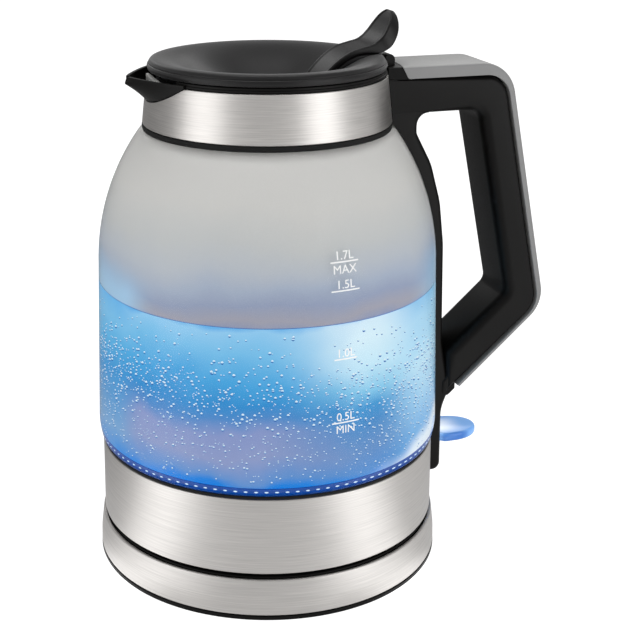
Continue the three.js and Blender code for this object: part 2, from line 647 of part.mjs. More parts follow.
// Height of the lower arm's line at x, moved inwards by an inset.
const armZ = (x, inset) =>
  ARM_POINT[1] + ARM_SLOPE * (x - ARM_POINT[0]) + inset * Math.hypot(1, ARM_SLOPE);

function upperCorner(topInset, legInset) {
  const z = HANDLE_TOP_Z - topInset;
  return [legX(z, legInset), z];
}

const UNDERSIDE_Z = HANDLE_TOP_Z - HANDLE_DEPTH;

// One hinge ear: an eye round the pin and a foot that joins it to the spine.
function hingeEar(side) {
  const y = side > 0 ? EAR_Y : [-EAR_Y[1], -EAR_Y[0]];
  const eye = crossPin(KNUCKLE_R + 0.1, HINGE_X, HINGE_Z, ...y);
  const foot = block([HINGE_X, HINGE_X + KNUCKLE_R], y, [220, HINGE_Z]);
  return join(eye, foot);
}

const hingeBore = () => crossPin(PIN_R + 0.3, HINGE_X, HINGE_Z, -10, 10);

function makeCover() {
  const endX = BOSS_X + GAP;
  const outline = roundedOutline([
    [50, HANDLE_TOP_Z, 0], [50, HANDLE_TOP_Z - COVER_TOP, 0],
    [...upperCorner(COVER_TOP, COVER_SIDE), 12], [...lowerCorner(COVER_SIDE), 13],
    [endX, armZ(endX, COVER_SIDE), 0], [endX + 1.4, armZ(endX + 1.4, 0), 0],
    [...lowerCorner(0), 16], [...upperCorner(0, 0), 17],
  ]);
  const front = disc(COVER_START_R, 200, 240, SEGMENTS);
  place("handle_cover", cut(sideExtrusion(outline, HANDLE_HALF_WIDTH, 1.2, 1), front), greyTrim());
}

function makeGrip() {
  const skin = COVER_SIDE + GAP;
  const innerEndX = BOSS_X - 2.1;
  const outerEndX = BOSS_X + 1.1;
  const outline = roundedOutline([
    [GRIP_START_X, HANDLE_TOP_Z - COVER_TOP - GAP, 0], [GRIP_START_X, UNDERSIDE_Z, 0],
    [...upperCorner(HANDLE_DEPTH, GRIP_DEPTH), 6], [...lowerCorner(GRIP_DEPTH), 5],
    [innerEndX, armZ(innerEndX, GRIP_DEPTH), 0], [outerEndX, armZ(outerEndX, skin), 0],
    [...lowerCorner(skin), 12.6], [...upperCorner(COVER_TOP + GAP, skin), 11.6],
  ]);
  place("handle_grip", sideExtrusion(outline, HANDLE_HALF_WIDTH, HANDLE_EDGE), blackPlastic());
}

function makeSpine() {
  const topZ = HANDLE_TOP_Z - 0.2;
  const ledgeZ = HANDLE_TOP_Z - COVER_TOP - GAP;
  const ledgeX = [COVER_START_R - GAP - 1.4, GRIP_START_X - GAP];
  const outline = roundedOutline([
    [48, topZ, 0], [48, SPINE_FOOT[1], 0], [...SPINE_FOOT, 4], [SPINE_FOOT[0] - 0.4, 55, 0],
    [BOSS_X, 62, 4], [BOSS_X, 71, 8], ...SPINE_BACK.map(([x, z]) => [x, z, 0]),
    [SPINE_THROAT_X, 194.5, 4], [SPINE_THROAT_X, UNDERSIDE_Z, 5], [ledgeX[1], UNDERSIDE_Z, 0],
    [ledgeX[1], ledgeZ, 0], [ledgeX[0], ledgeZ, 0], [ledgeX[0], topZ, 0],
  ]);
  const body = cut(sideExtrusion(outline, SPINE_HALF_WIDTH, 2.5), jugEnvelope(0.6));
  const channelY = [-TUBE_CHANNEL_HALF_WIDTH, TUBE_CHANNEL_HALF_WIDTH];
  const tubeChannel = common(jugEnvelope(3.5), block([40, 90], channelY, [50, 204]));
  const pocketHalf = SWITCH_HALF_WIDTH + 0.8;
  const leverPocket = block([70, 95], [-pocketHalf, pocketHalf], [SWITCH_Z - 4, SWITCH_Z + 10.5]);
  const hingePocket = block([50, HINGE_X + KNUCKLE_R + 1.2], [-5.2, 5.2], [222.4, 232]);
  const boreR = UPPER_SCREW.shankR + SCREW_PLAY;
  const upperBore = longPin(boreR, 0, UPPER_SCREW_Z, 48, 67);
  const lowerBore = longPin(boreR, 0, LOWER_SCREW_Z, 70, 81);
  const hollowed = cut(body, tubeChannel, leverPocket, hingePocket, upperBore, lowerBore);
  place("handle_spine", cut(join(hollowed, hingeEar(-1), hingeEar(1)), hingeBore()), blackPlastic());
}

function makeHandle() {
  makeCover();
  makeGrip();
  makeSpine();
  const pinHalf = EAR_Y[1] - 0.1;
  place("lid_hinge_pin", crossPin(PIN_R, HINGE_X, HINGE_Z, -pinHalf, pinHalf), brushedSteel());

  // The steam tube runs down the spine's channel to the switch.
  const tubeLine = glassLine(1.9).filter(([, z]) => z > 60).map(([r, z]) => new THREE.Vector3(r, 0, z));
  tubeLine.unshift(new THREE.Vector3(GLASS_FOOT_R + 1.3, 0, 52));
  place("steam_tube", tubeAlong(new THREE.CatmullRomCurve3(tubeLine), TUBE_R, 20), tubing());

  const upperScrew = screw(UPPER_SCREW).rotateY(Math.PI / 2);
  const lowerScrew = screw(LOWER_SCREW).rotateY(Math.PI / 2);
  place("handle_screw_upper", upperScrew, brushedSteel()).position.set(51.45, 0, UPPER_SCREW_Z);
  place("handle_screw_lower", lowerScrew, brushedSteel()).position.set(73, 0, LOWER_SCREW_Z);
}

// ---- lid ----
// The bowl's upper line, from the axis to the rim's crest.
function bowlLine() {
  const flatR = 10;
  const steps = 8;
  const line = [[0, BOWL_Z]];
  for (let k = 0; k <= steps; k += 1) {
    const t = k / steps;
    const rise = (1 - Math.cos(Math.PI * t ** 1.08)) / 2;
    line.push([flatR + (RIM_CREST_R - flatR) * t, BOWL_Z + (RIM_CREST_Z - BOWL_Z) * rise]);
  }
  return line;
}

function makeShell() {
  const top = bowlLine();
  const rim = [[51.0, 229.9], [52.1, 228.6], [RIM_R, 227.2], [RIM_R - 0.5, RIM_LOW_Z]];
  const under = top.slice(0, -1)
    .map(([r, z]) => [r, z - LID_SKIN])
    .filter(([, z]) => z < RIM_LOW_Z - 0.3)
    .reverse();
  const dish = turned([...top, ...rim, [45.6, RIM_LOW_Z], ...under]);

  // The bridge carries the lever from the bowl up to the hinge.
  const bridge = roundedOutline([
    [20, 213, 0], [50.8, 226.2, 0], [50.8, 230.6, 1.5], [38.5, 230.6, 0], [33.5, 228.6, 0], [27, 223.4, 0],
    [20, 215.6, 0],
  ]);
  const aboveBowl = turned([...top.map(([r, z]) => [r, z - 1]), [51.5, 228], [51.5, 240], [0, 240]]);
  const bridgeFill = common(sideExtrusion(bridge, BRIDGE_HALF_WIDTH, 0), aboveBowl);
  const notchX = [HINGE_X - KNUCKLE_R - 0.7, 60];
  const notchY = [EAR_Y[0] - GAP, EAR_Y[1] + 0.6];
  const earNotches = [
    block(notchX, notchY, [222, 233]),
    block(notchX, [-notchY[1], -notchY[0]], [222, 233]),
  ];
  const knuckleY = [-KNUCKLE_HALF_WIDTH, KNUCKLE_HALF_WIDTH];
  const knuckle = join(
    crossPin(KNUCKLE_R, HINGE_X, HINGE_Z, ...knuckleY),
    block([49.5, HINGE_X], knuckleY, [RIM_LOW_Z + 0.2, HINGE_Z + KNUCKLE_R]),
  );
  const shell = join(cut(join(dish, bridgeFill), ...earNotches), knuckle);
  place("lid_shell", cut(shell, hingeBore()), blackPlastic());
}

function makePlug() {
  const topZ = RIM_LOW_Z - 2 * GAP;
  const grooveR = PLUG_R - 0.8;
  const skinZ = PLUG_LOW_Z + 1.8;
  const [grooveLow, grooveHigh] = [GASKET_Z[0] - GAP, GASKET_Z[1] + GAP];
  place("lid_inner", turned([
    [0, PLUG_LOW_Z], [PLUG_R - 1, PLUG_LOW_Z], [PLUG_R, PLUG_LOW_Z + 1], [PLUG_R, grooveLow],
    [grooveR, grooveLow], [grooveR, grooveHigh], [PLUG_R, grooveHigh], [PLUG_R, topZ],
    [PLUG_R - PLUG_SKIN, topZ], [PLUG_R - PLUG_SKIN, skinZ], [0, skinZ],
  ]), blackPlastic());

  const [low, high] = GASKET_Z;
  const heelR = [PLUG_R - GAP, PLUG_R + GAP];
  const middle = (low + high) / 2;
  place("lid_gasket", turned([
    [heelR[0], low], [heelR[1], low], [GASKET_R, middle - 0.3], [GASKET_R, middle + 0.3], [heelR[1], high],
    [heelR[0], high],
  ]), silicone());
}

// The thumb lever lies on the bridge and rises past the rim.
function makeLever() {
  const upper = [
    [20.0, 219.0], [24.5, 224.2], [30.2, 229.5], [35.3, 232.4], [41, 233.6], [45.5, 235.0], [49.7, 238.5],
    [52.6, 243.0], [54.6, 247.0], [56.2, 248.8],
  ];
  const lower = [
    [57.9, 247.0], [58.4, 244.4], [57.7, 241.0], [56.0, 237.0], [52.8, 233.2], [49.6, 231.1], [38.5, 231.1],
    [33.2, 229.2], [26.4, 224.0], [20.6, 218.0],
  ];
  const side = new THREE.Shape([...upper, ...lower].map(([x, z]) => new THREE.Vector2(x, z)));
  // Seen from the front the lever is a tongue with a round top.
  const face = new THREE.Shape();
  face.moveTo(-LEVER_HALF_WIDTH, 200);
  face.lineTo(LEVER_HALF_WIDTH, 200);
  face.lineTo(LEVER_HALF_WIDTH, LEVER_ROUND_Z);
  face.absarc(0, LEVER_ROUND_Z, LEVER_HALF_WIDTH, 0, Math.PI, false);
  const front = new THREE.ExtrudeGeometry(face, { depth: 60, bevelEnabled: false, curveSegments: 10 })
    .rotateX(Math.PI / 2).rotateZ(Math.PI / 2).translate(10, 0, 0);
  place("lid_lever", common(sideExtrusion(side, LEVER_HALF_WIDTH, 0), front), blackPlastic());
}

function makeLid() {
  makeShell();
  makePlug();
  makeLever();
  [-1, 1].forEach((sign, k) => {
    place(`lid_screw_${k + 1}`, screw(LID_SCREW), brushedSteel())
      .position.set(0, sign * LID_SCREW_ORBIT_R, LID_SCREW_Z);
  });
}

// ---- switch ----
function makeSwitch() {
  const [low, high] = [SWITCH_Z - SWITCH_THICK / 2, SWITCH_Z + SWITCH_THICK / 2];
  const [rootX, rootHalf] = SWITCH_ROOT;
  const edge = 1;
  const plan = new THREE.Shape();
  plan.moveTo(rootX, -rootHalf);
  plan.lineTo(84.5, -rootHalf);
  plan.lineTo(85.5, -SWITCH_HALF_WIDTH);
  plan.lineTo(SWITCH_BEND_X, -SWITCH_HALF_WIDTH);
  plan.absellipse(
    SWITCH_BEND_X, 0, SWITCH_TIP_X - SWITCH_BEND_X, SWITCH_HALF_WIDTH, -Math.PI / 2, Math.PI / 2, false);
  plan.lineTo(85.5, SWITCH_HALF_WIDTH);
  plan.lineTo(84.5, rootHalf);
  plan.lineTo(rootX, rootHalf);
  const paddle = new THREE.ExtrudeGeometry(plan, {
    depth: SWITCH_THICK - 2 * edge,
    bevelEnabled: true,
    bevelThickness: edge,
    bevelSize: edge,
    bevelOffset: -edge,
    bevelSegments: 1,
    curveSegments: 10,
  }).translate(0, 0, low + edge);
  place("switch_lever", paddle, clearBlue());

  const rockerY = [-ROCKER_HALF_WIDTH, ROCKER_HALF_WIDTH];
  const rocker = join(
    block([SWITCH_X, rootX - GAP], rockerY, [low + 0.3, high - 0.3]),
    crossPin(ROCKER_R, SWITCH_X, SWITCH_Z, ...rockerY),
  );
  const bore = crossPin(PIN_R + 0.3, SWITCH_X, SWITCH_Z, -10, 10);
  place("switch_rocker", cut(rocker, bore), blackPlastic());
  place("switch_pin", crossPin(PIN_R, SWITCH_X, SWITCH_Z, -9.5, 9.5), brushedSteel());
}

makeBase();
makeCoupler();
makeJugBottom();
makeGlass();
makeNeck();
makeHandle();
makeLid();
makeSwitch();

export default kettle;
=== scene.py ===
import math
import random

import bmesh
import bpy
from mathutils import Matrix, Vector


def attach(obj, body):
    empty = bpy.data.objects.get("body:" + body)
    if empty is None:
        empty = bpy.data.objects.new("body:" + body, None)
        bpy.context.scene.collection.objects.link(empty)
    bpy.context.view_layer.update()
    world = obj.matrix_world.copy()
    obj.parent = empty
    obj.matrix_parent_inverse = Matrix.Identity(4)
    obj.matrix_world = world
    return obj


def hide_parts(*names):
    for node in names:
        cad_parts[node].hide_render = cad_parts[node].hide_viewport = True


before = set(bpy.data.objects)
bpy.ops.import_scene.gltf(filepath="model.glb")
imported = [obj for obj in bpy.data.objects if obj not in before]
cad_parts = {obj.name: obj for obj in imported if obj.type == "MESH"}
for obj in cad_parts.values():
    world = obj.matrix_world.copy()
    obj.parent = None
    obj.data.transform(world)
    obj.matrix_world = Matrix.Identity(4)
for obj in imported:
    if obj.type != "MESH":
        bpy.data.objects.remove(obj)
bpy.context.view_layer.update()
random.seed(17)
MM = 0.001

# Kettle sizes in millimetres, as in the CAD frame: the axis is Z, the handle points to +X.
BAND_Z, BAND_TOP_Z = 21.1, 55.7
GLASS_FOOT_R, GLASS_Z = 77.3, 57.7
BULGE_R, BULGE_Z, TAPER = 78.4, 66.0, 0.0304
SHOULDER_Z, SHOULDER_ARC_R = 141.5, 102.5
WALL = 2.8
NECK_Z = 199.2
WATER_Z, WATER_LOW_Z = 131.0, 60.5
FILM_OVERLAP = 0.08  # how far the water and the mist reach into the glass

# The white room is dimmer behind the kettle than in front of it.
ROOM_LIGHT, BACK_LIGHT = 0.53, 0.36
LIGHT_AXIS = -15.6  # azimuth that the front and top lamps are set out from, close to the camera's
LAMP_DISTANCE, LAMP_TARGET_Z = 1.2, 0.13


# ---- camera, floor and light ----
def look(yaw, pitch):
    """Rotation of a camera or lamp that looks along yaw, measured from +Y towards +X, and down by pitch."""
    return Matrix.Rotation(-yaw, 4, "Z") @ Matrix.Rotation(math.pi / 2 - pitch, 4, "X")


def add_camera():
    data = bpy.data.cameras.new("camera")
    data.lens, data.sensor_width, data.sensor_fit = 76.462, 36, "HORIZONTAL"
    data.shift_x, data.shift_y = 0.0767, -0.0938
    data.clip_start, data.clip_end = 0.01, 50
    camera = bpy.data.objects.new("camera", data)
    bpy.context.collection.objects.link(camera)
    place = Matrix.Translation(Vector((-166.45, -566.55, 321.47)) * MM)
    camera.matrix_world = place @ look(math.radians(16.532), math.radians(17.311))
    bpy.context.scene.camera = camera


def add_light(name, azimuth, elevation, size, power):
    """A rectangular white lamp aimed at the kettle. Azimuth 0 is -Y, the handle's near side."""
    data = bpy.data.lights.new(name, "AREA")
    data.shape, data.size, data.size_y = "RECTANGLE", size[0], size[1]
    data.energy = power
    lamp = bpy.data.objects.new(name, data)
    bpy.context.collection.objects.link(lamp)
    a, e = math.radians(azimuth), math.radians(elevation)
    back = Vector((math.sin(a) * math.cos(e), -math.cos(a) * math.cos(e), math.sin(e)))
    turn = back.to_track_quat("Z", "Y").to_matrix().to_4x4()
    lamp.matrix_world = Matrix.Translation(Vector((0, 0, LAMP_TARGET_Z)) + back * LAMP_DISTANCE) @ turn


def add_studio():
    world = bpy.data.worlds.new("studio")
    bpy.context.scene.world = world
    world.use_nodes = True
    nodes, links = world.node_tree.nodes, world.node_tree.links
    room, backdrop = nodes["Background"], nodes.new("ShaderNodeBackground")
    room.inputs["Color"].default_value = (1, 1, 1, 1)
    split = nodes.new("ShaderNodeSeparateXYZ")
    links.new(nodes.new("ShaderNodeTexCoord").outputs["Generated"], split.inputs[0])
    fade = nodes.new("ShaderNodeMapRange")
    fade.interpolation_type = "SMOOTHSTEP"
    for key, value in (("From Min", 0.0), ("From Max", 0.9), ("To Min", ROOM_LIGHT), ("To Max", BACK_LIGHT)):
        fade.inputs[key].default_value = value
    links.new(split.outputs["Y"], fade.inputs["Value"])
    links.new(fade.outputs[0], room.inputs["Strength"])
    backdrop.inputs["Strength"].default_value = 1.0
    backdrop.inputs["Color"].default_value = (1, 1, 1, 1)
    both = nodes.new("ShaderNodeMixShader")
    links.new(nodes.new("ShaderNodeLightPath").outputs["Is Camera Ray"], both.inputs[0])
    links.new(room.outputs[0], both.inputs[1])
    links.new(backdrop.outputs[0], both.inputs[2])
    links.new(both.outputs[0], nodes["World Output"].inputs["Surface"])
    bpy.context.scene.view_settings.view_transform = "Standard"
    add_light("strip_left", LIGHT_AXIS - 60, 8, (0.84, 1.15), 4.5)
    add_light("strip_right", LIGHT_AXIS + 50, 8, (0.66, 1.15), 4.7)
    add_light("top_left", LIGHT_AXIS - 100, 79, (0.30, 0.30), 2.2)
    add_light("top_right", LIGHT_AXIS + 100, 79, (0.30, 0.30), 1.9)
    add_light("back_left", 190, 30, (0.35, 0.35), 0.5)
    add_light("back_right", 146, 30, (0.35, 0.35), 0.6)


def add_floor():
    """A pale floor, white to the camera. The steel reflects it darker, with two soft pools of light."""
    mesh = bpy.data.meshes.new("floor")
    mesh.from_pydata([(-4, -4, 0), (4, -4, 0), (4, 4, 0), (-4, 4, 0)], [], [(0, 1, 2, 3)])
    floor = bpy.data.objects.new("floor", mesh)
    bpy.context.collection.objects.link(floor)
    pale = Look("floor", Roughness=0.9, Specular_IOR_Level=0.0, Emission_Color=(1, 1, 1, 1))
    pale.set("Base Color", (0.25, 0.25, 0.25, 1))
    _, x, y, _ = pale.place()
    around = pale.math("ARCTAN2", x, pale.math("MULTIPLY", y, -1.0))
    left = pale.remap(pale.math("ABSOLUTE", pale.math("ADD", around, 1.32)), 0.50, 0.05, smooth=True)
    right = pale.remap(pale.math("ABSOLUTE", pale.math("SUBTRACT", around, 0.66)), 0.46, 0.05, smooth=True)
    pools = pale.math("MULTIPLY", pale.math("MAXIMUM", left, right), 0.95)
    # Painted light for the steel to reflect: the floor glows brighter in front and in the two pools.
    lit = pale.math("ADD", pale.remap(y, -0.02, 0.22, 0.58, 0.06, smooth=True), pools)
    seen = pale.nodes.new("ShaderNodeLightPath").outputs["Is Camera Ray"]
    pale.set("Emission Strength", pale.math("MAXIMUM", lit, seen))
    mesh.materials.append(pale.material)


# ---- mesh helpers ----
def new_object(name, bm, smooth_angle=35):
    bmesh.ops.recalc_face_normals(bm, faces=bm.faces)
    mesh = bpy.data.meshes.new(name)
    bm.to_mesh(mesh)
    bm.free()
    obj = bpy.data.objects.new(name, mesh)
    bpy.context.collection.objects.link(obj)
    shade(obj, smooth_angle)
    return obj


def shade(obj, angle=35):
    for face in obj.data.polygons:
        face.use_smooth = True
    obj.data.set_sharp_from_angle(angle=math.radians(angle))


def fillet(corners, steps=6):
    """Corners (a, b, radius) of a closed line, as points with each corner rounded."""
    points = []
    for i, (a, b, radius) in enumerate(corners):
        here = Vector((a, b))
        if radius == 0:
            points.append(here)
            continue
        before, after = corners[i - 1], corners[(i + 1) % len(corners)]
        back = (Vector(before[:2]) - here).normalized()
        on = (Vector(after[:2]) - here).normalized()
        half = math.acos(max(-1, min(1, back.dot(on)))) / 2
        reach = radius / math.tan(half)
        centre = here + (back + on).normalized() * (radius / math.sin(half))
        start, end = here + back * reach - centre, here + on * reach - centre
        sweep = math.atan2(start.x * end.y - start.y * end.x, start.dot(end))
        for k in range(steps + 1):
            t = sweep * k / steps
            c, s = math.cos(t), math.sin(t)
            points.append(centre + Vector((start.x * c - start.y * s, start.x * s + start.y * c)))
    return [(p.x, p.y) for p in points]


def lathe(name, profile, segments=192, centre=(0, 0), smooth_angle=35):
    """A closed line of (radius, height) points in mm, turned round an upright axis."""
    bm = bmesh.new()
    rings = []
    for r, z in profile:
        if r < 1e-6:
            rings.append([bm.verts.new((centre[0] * MM, centre[1] * MM, z * MM))])
            continue
        turn = [2 * math.pi * k / segments for k in range(segments)]
        rings.append([
            bm.verts.new(((centre[0] + r * math.cos(a)) * MM, (centre[1] + r * math.sin(a)) * MM, z * MM))
            for a in turn
        ])
    for lower, upper in zip(rings, rings[1:] + rings[:1]):
        if len(lower) == 1 and len(upper) == 1:
            continue
        for k in range(segments):
            n = (k + 1) % segments
            if len(lower) == 1:
                bm.faces.new((lower[0], upper[n], upper[k]))
            elif len(upper) == 1:
                bm.faces.new((lower[k], lower[n], upper[0]))
            else:
                bm.faces.new((lower[k], lower[n], upper[n], upper[k]))
    return new_object(name, bm, smooth_angle)


def offset_line(points):
    """For each point of a closed line, the step that moves it 1 mm inwards."""
    area = sum(a[0] * b[1] - a[1] * b[0] for a, b in zip(points, points[1:] + points[:1]))
    side = 1 if area > 0 else -1
    steps = []
    for i, here in enumerate(points):
        before, after = Vector(points[i - 1]), Vector(points[(i + 1) % len(points)])
        u = (Vector(here) - before).normalized()
        v = (after - Vector(here)).normalized()
        n1, n2 = Vector((-u.y, u.x)) * side, Vector((-v.y, v.x)) * side
        total = n1 + n2
        steps.append(total / max(0.35, total.dot(n1)))
    return steps


def slab(name, outline, rows, axis="Y", width_at=None, smooth_angle=35, inset_share=None):
    """A closed outline swept across its plane. rows are (distance from the middle plane, inset) pairs from one
    side to the other. width_at scales the distance from the first coordinate of a point, and inset_share scales
    the inset of each point."""
    steps = offset_line(outline)
    if inset_share:
        steps = [step * share for step, share in zip(steps, inset_share)]
    bm = bmesh.new()
    rings = []
    for out, inset in rows:
        ring = []
        for (a, b), step in zip(outline, steps):
            p, q = a + step.x * inset, b + step.y * inset
            w = out * (width_at(a) if width_at else 1)
            co = (p * MM, w * MM, q * MM) if axis == "Y" else (p * MM, q * MM, w * MM)
            ring.append(bm.verts.new(co))
        rings.append(ring)
    count = len(outline)
    for lower, upper in zip(rings, rings[1:]):
        for k in range(count):
            n = (k + 1) % count
            bm.faces.new((lower[k], lower[n], upper[n], upper[k]))
    bm.faces.new(rings[0])
    bm.faces.new(list(reversed(rings[-1])))
    return new_object(name, bm, smooth_angle)


def round_rows(half, edge, steps=5):
    """Rows of a slab, half on each side of the middle plane, whose long edges are rounded."""
    turns = [math.pi / 2 * k / steps for k in range(steps + 1)]
    side = [(half - edge + edge * math.cos(a), edge * (1 - math.sin(a))) for a in turns]
    return side + [(-out, inset) for out, inset in reversed(side)]


def loft(name, rings, smooth_angle=35):
    """A closed skin through rings of points in mm, with a flat cap at each end."""
    bm = bmesh.new()
    made = [[bm.verts.new(Vector(p) * MM) for p in ring] for ring in rings]
    count = len(made[0])
    for lower, upper in zip(made, made[1:]):
        for k in range(count):
            n = (k + 1) % count
            bm.faces.new((lower[k], lower[n], upper[n], upper[k]))
    bm.faces.new(list(reversed(made[0])))
    bm.faces.new(made[-1])
    return new_object(name, bm, smooth_angle)


def box(name, x, y, z):
    bm = bmesh.new()
    corners = [bm.verts.new((a * MM, b * MM, c * MM)) for c in z for b in y for a in x]
    for face in ((0, 1, 3, 2), (4, 5, 7, 6), (0, 1, 5, 4), (2, 3, 7, 6), (0, 2, 6, 4), (1, 3, 7, 5)):
        bm.faces.new([corners[i] for i in face])
    return new_object(name, bm)


def cut(obj, tool, angle=35):
    """Cuts a tool mesh out of obj, then removes the tool."""
    modifier = obj.modifiers.new("cut", "BOOLEAN")
    modifier.operation, modifier.solver, modifier.object = "DIFFERENCE", "EXACT", tool
    graph = bpy.context.evaluated_depsgraph_get()
    mesh = bpy.data.meshes.new_from_object(obj.evaluated_get(graph))
    obj.modifiers.clear()
    obj.data = mesh
    bpy.data.objects.remove(tool)
    shade(obj, angle)


# ---- material helpers ----
class Look:
    """A material with one Principled shader and helpers for its nodes."""

    def __init__(self, name, **sockets):
        self.material = bpy.data.materials.new(name)
        self.material.use_nodes = True
        self.nodes, self.links = self.material.node_tree.nodes, self.material.node_tree.links
        self.shader = self.nodes["Principled BSDF"]
        for key, value in sockets.items():
            self.shader.inputs[key.replace("_", " ")].default_value = value

    def add(self, kind, **inputs):
        node = self.nodes.new("ShaderNode" + kind)
        for key, value in inputs.items():
            self.put(node.inputs[key.replace("_", " ")], value)
        return node

    def put(self, socket, value):
        if isinstance(value, bpy.types.NodeSocket):
            self.links.new(value, socket)
        else:
            socket.default_value = value

    def math(self, operation, a, b=0.0):
        node = self.nodes.new("ShaderNodeMath")
        node.operation = operation
        self.put(node.inputs[0], a)
        self.put(node.inputs[1], b)
        return node.outputs[0]

    def place(self):
        """Object position in metres, as one vector socket and as its three parts."""
        where = self.nodes.new("ShaderNodeTexCoord").outputs["Object"]
        split = self.add("SeparateXYZ", Vector=where)
        return where, split.outputs[0], split.outputs[1], split.outputs[2]

    def noise(self, vector, scale, detail=2.0):
        return self.add("TexNoise", Vector=vector, Scale=scale, Detail=detail).outputs["Fac"]

    def ramp(self, fac, stops):
        node = self.add("ValToRGB", Fac=fac)
        elements = node.color_ramp.elements
        while len(elements) < len(stops):
            elements.new(0.5)
        for element, (at, color) in zip(elements, stops):
            element.position = at
            element.color = (*color, 1)
        return node.outputs["Color"]

    def remap(self, value, low, high, to_low=0.0, to_high=1.0, smooth=False):
        node = self.nodes.new("ShaderNodeMapRange")
        node.interpolation_type = "SMOOTHSTEP" if smooth else "LINEAR"
        keys = ("Value", "From Min", "From Max", "To Min", "To Max")
        for key, v in zip(keys, (value, low, high, to_low, to_high)):
            self.put(node.inputs[key], v)
        return node.outputs[0]

    def mix(self, fac, a, b):
        node = self.nodes.new("ShaderNodeMix")
        node.data_type = "RGBA"
        self.put(node.inputs[0], fac)
        self.put(node.inputs[6], a)
        self.put(node.inputs[7], b)
        return node.outputs[2]

    def bump(self, height, strength, distance):
        node = self.add("Bump", Height=height, Strength=strength, Distance=distance)
        self.links.new(node.outputs[0], self.shader.inputs["Normal"])

    def set(self, key, value):
        self.put(self.shader.inputs[key], value)


def srgb(r, g, b):
    """Linear colour of an 8-bit display colour."""
    return tuple(((c / 255 + 0.055) / 1.055) ** 2.4 if c > 10 else c / 255 / 12.92 for c in (r, g, b))


def scaled(color, factor):
    """A colour made lighter or darker, with an alpha of 1."""
    return (*(min(1, c * factor) for c in color), 1)


def turned_steel(name, color, roughness):
    """Sheet steel brushed round the kettle's axis."""
    m = Look(name, Metallic=1.0, Anisotropic=0.6, Anisotropic_Rotation=0.25)
    _, x, y, z = m.place()
    angle = m.math("ARCTAN2", y, x)
    radius = m.math("SQRT", m.math("ADD", m.math("MULTIPLY", x, x), m.math("MULTIPLY", y, y)))
    up = m.math("ADD", z, radius)
    fine = m.add("CombineXYZ", X=m.math("MULTIPLY", angle, 5.0), Y=m.math("MULTIPLY", up, 5200.0)).outputs[0]
    broad = m.add("CombineXYZ", X=m.math("MULTIPLY", angle, 2.2), Y=m.math("MULTIPLY", up, 2300.0)).outputs[0]
    hair, streak = m.noise(fine, 1.0, 3.0), m.noise(broad, 1.0, 2.0)
    brushing = m.math("ADD", m.math("MULTIPLY", hair, 0.5), m.math("MULTIPLY", streak, 0.5))
    m.set("Base Color", m.mix(m.remap(brushing, 0.36, 0.64), scaled(color, 0.88), scaled(color, 1.12)))
    m.set("Roughness", m.remap(hair, 0.3, 0.7, roughness - 0.05, roughness + 0.06))
    m.bump(hair, 0.07, 0.00004)
    tangent = m.nodes.new("ShaderNodeTangent")
    tangent.direction_type, tangent.axis = "RADIAL", "Z"
    m.links.new(tangent.outputs[0], m.shader.inputs["Tangent"])
    return m.material


def plastic(name, color, roughness, grain=1500.0, depth=0.10, level=0.35, spread=0.2, sheen=0.0):
    """Moulded plastic with a fine grain."""
    m = Look(name, Specular_IOR_Level=level, Sheen_Weight=sheen, Sheen_Roughness=0.4)
    where, *_ = m.place()
    cells, cloud = m.noise(where, grain, 2.0), m.noise(where, 45.0, 3.0)
    m.set("Base Color", m.mix(m.remap(cloud, 0.3, 0.7), scaled(color, 1 - spread), scaled(color, 1 + spread)))
    m.set("Roughness", m.remap(cells, 0.3, 0.7, roughness - 0.04, roughness + 0.05))
    m.bump(cells, depth, 0.00006)
    return m.material


def trim_look():
    """Satin grey paint with painted shade: darker where it faces sideways than on the outer face."""
    m = Look("grey_trim", Specular_IOR_Level=0.5)
    where, *_ = m.place()
    # Painted shade: faces that look sideways get the darker of the two greys.
    normal = m.add("SeparateXYZ", Vector=m.nodes.new("ShaderNodeNewGeometry").outputs["Normal"]).outputs[1]
    side = m.remap(m.math("ABSOLUTE", normal), 0.55, 0.95, smooth=True)
    cloud = m.remap(m.noise(where, 45.0, 3.0), 0.3, 0.7, 0.94, 1.0)
    tone = m.mix(side, (*srgb(163, 163, 162), 1), (*srgb(127, 127, 127), 1))
    m.set("Base Color", m.mix(cloud, (0, 0, 0, 1), tone))
    cells = m.noise(where, 1500.0, 2.0)
    m.set("Roughness", m.remap(cells, 0.3, 0.7, 0.33, 0.42))
    m.bump(cells, 0.1, 0.00006)
    return m.material


def plain_metal(name, color, roughness):
    """Drawn or pressed metal with a faint mottle."""
    m = Look(name, Metallic=1.0)
    where, *_ = m.place()
    mottle = m.noise(where, 420.0, 3.0)
    m.set("Base Color", m.mix(mottle, scaled(color, 0.85), scaled(color, 1.1)))
    m.set("Roughness", m.remap(mottle, 0.3, 0.7, roughness - 0.06, roughness + 0.06))
    m.bump(mottle, 0.08, 0.00004)
    return m.material


def on_the_wall(m, x, y, z):
    """The way round the wall, from 0 at the handle to 1 at the spout, and the height in mm."""
    angle = m.math("ABSOLUTE", m.math("ARCTAN2", y, x))
    return m.math("DIVIDE", angle, math.pi), m.math("MULTIPLY", z, 1000.0)


def height_ramp(m, height, low, high, stops):
    """A colour ramp over a range of heights in mm; stops are (height, display colour)."""
    fac = m.remap(height, low, high)
    return m.ramp(fac, [((h - low) / (high - low), srgb(*c)) for h, c in stops])


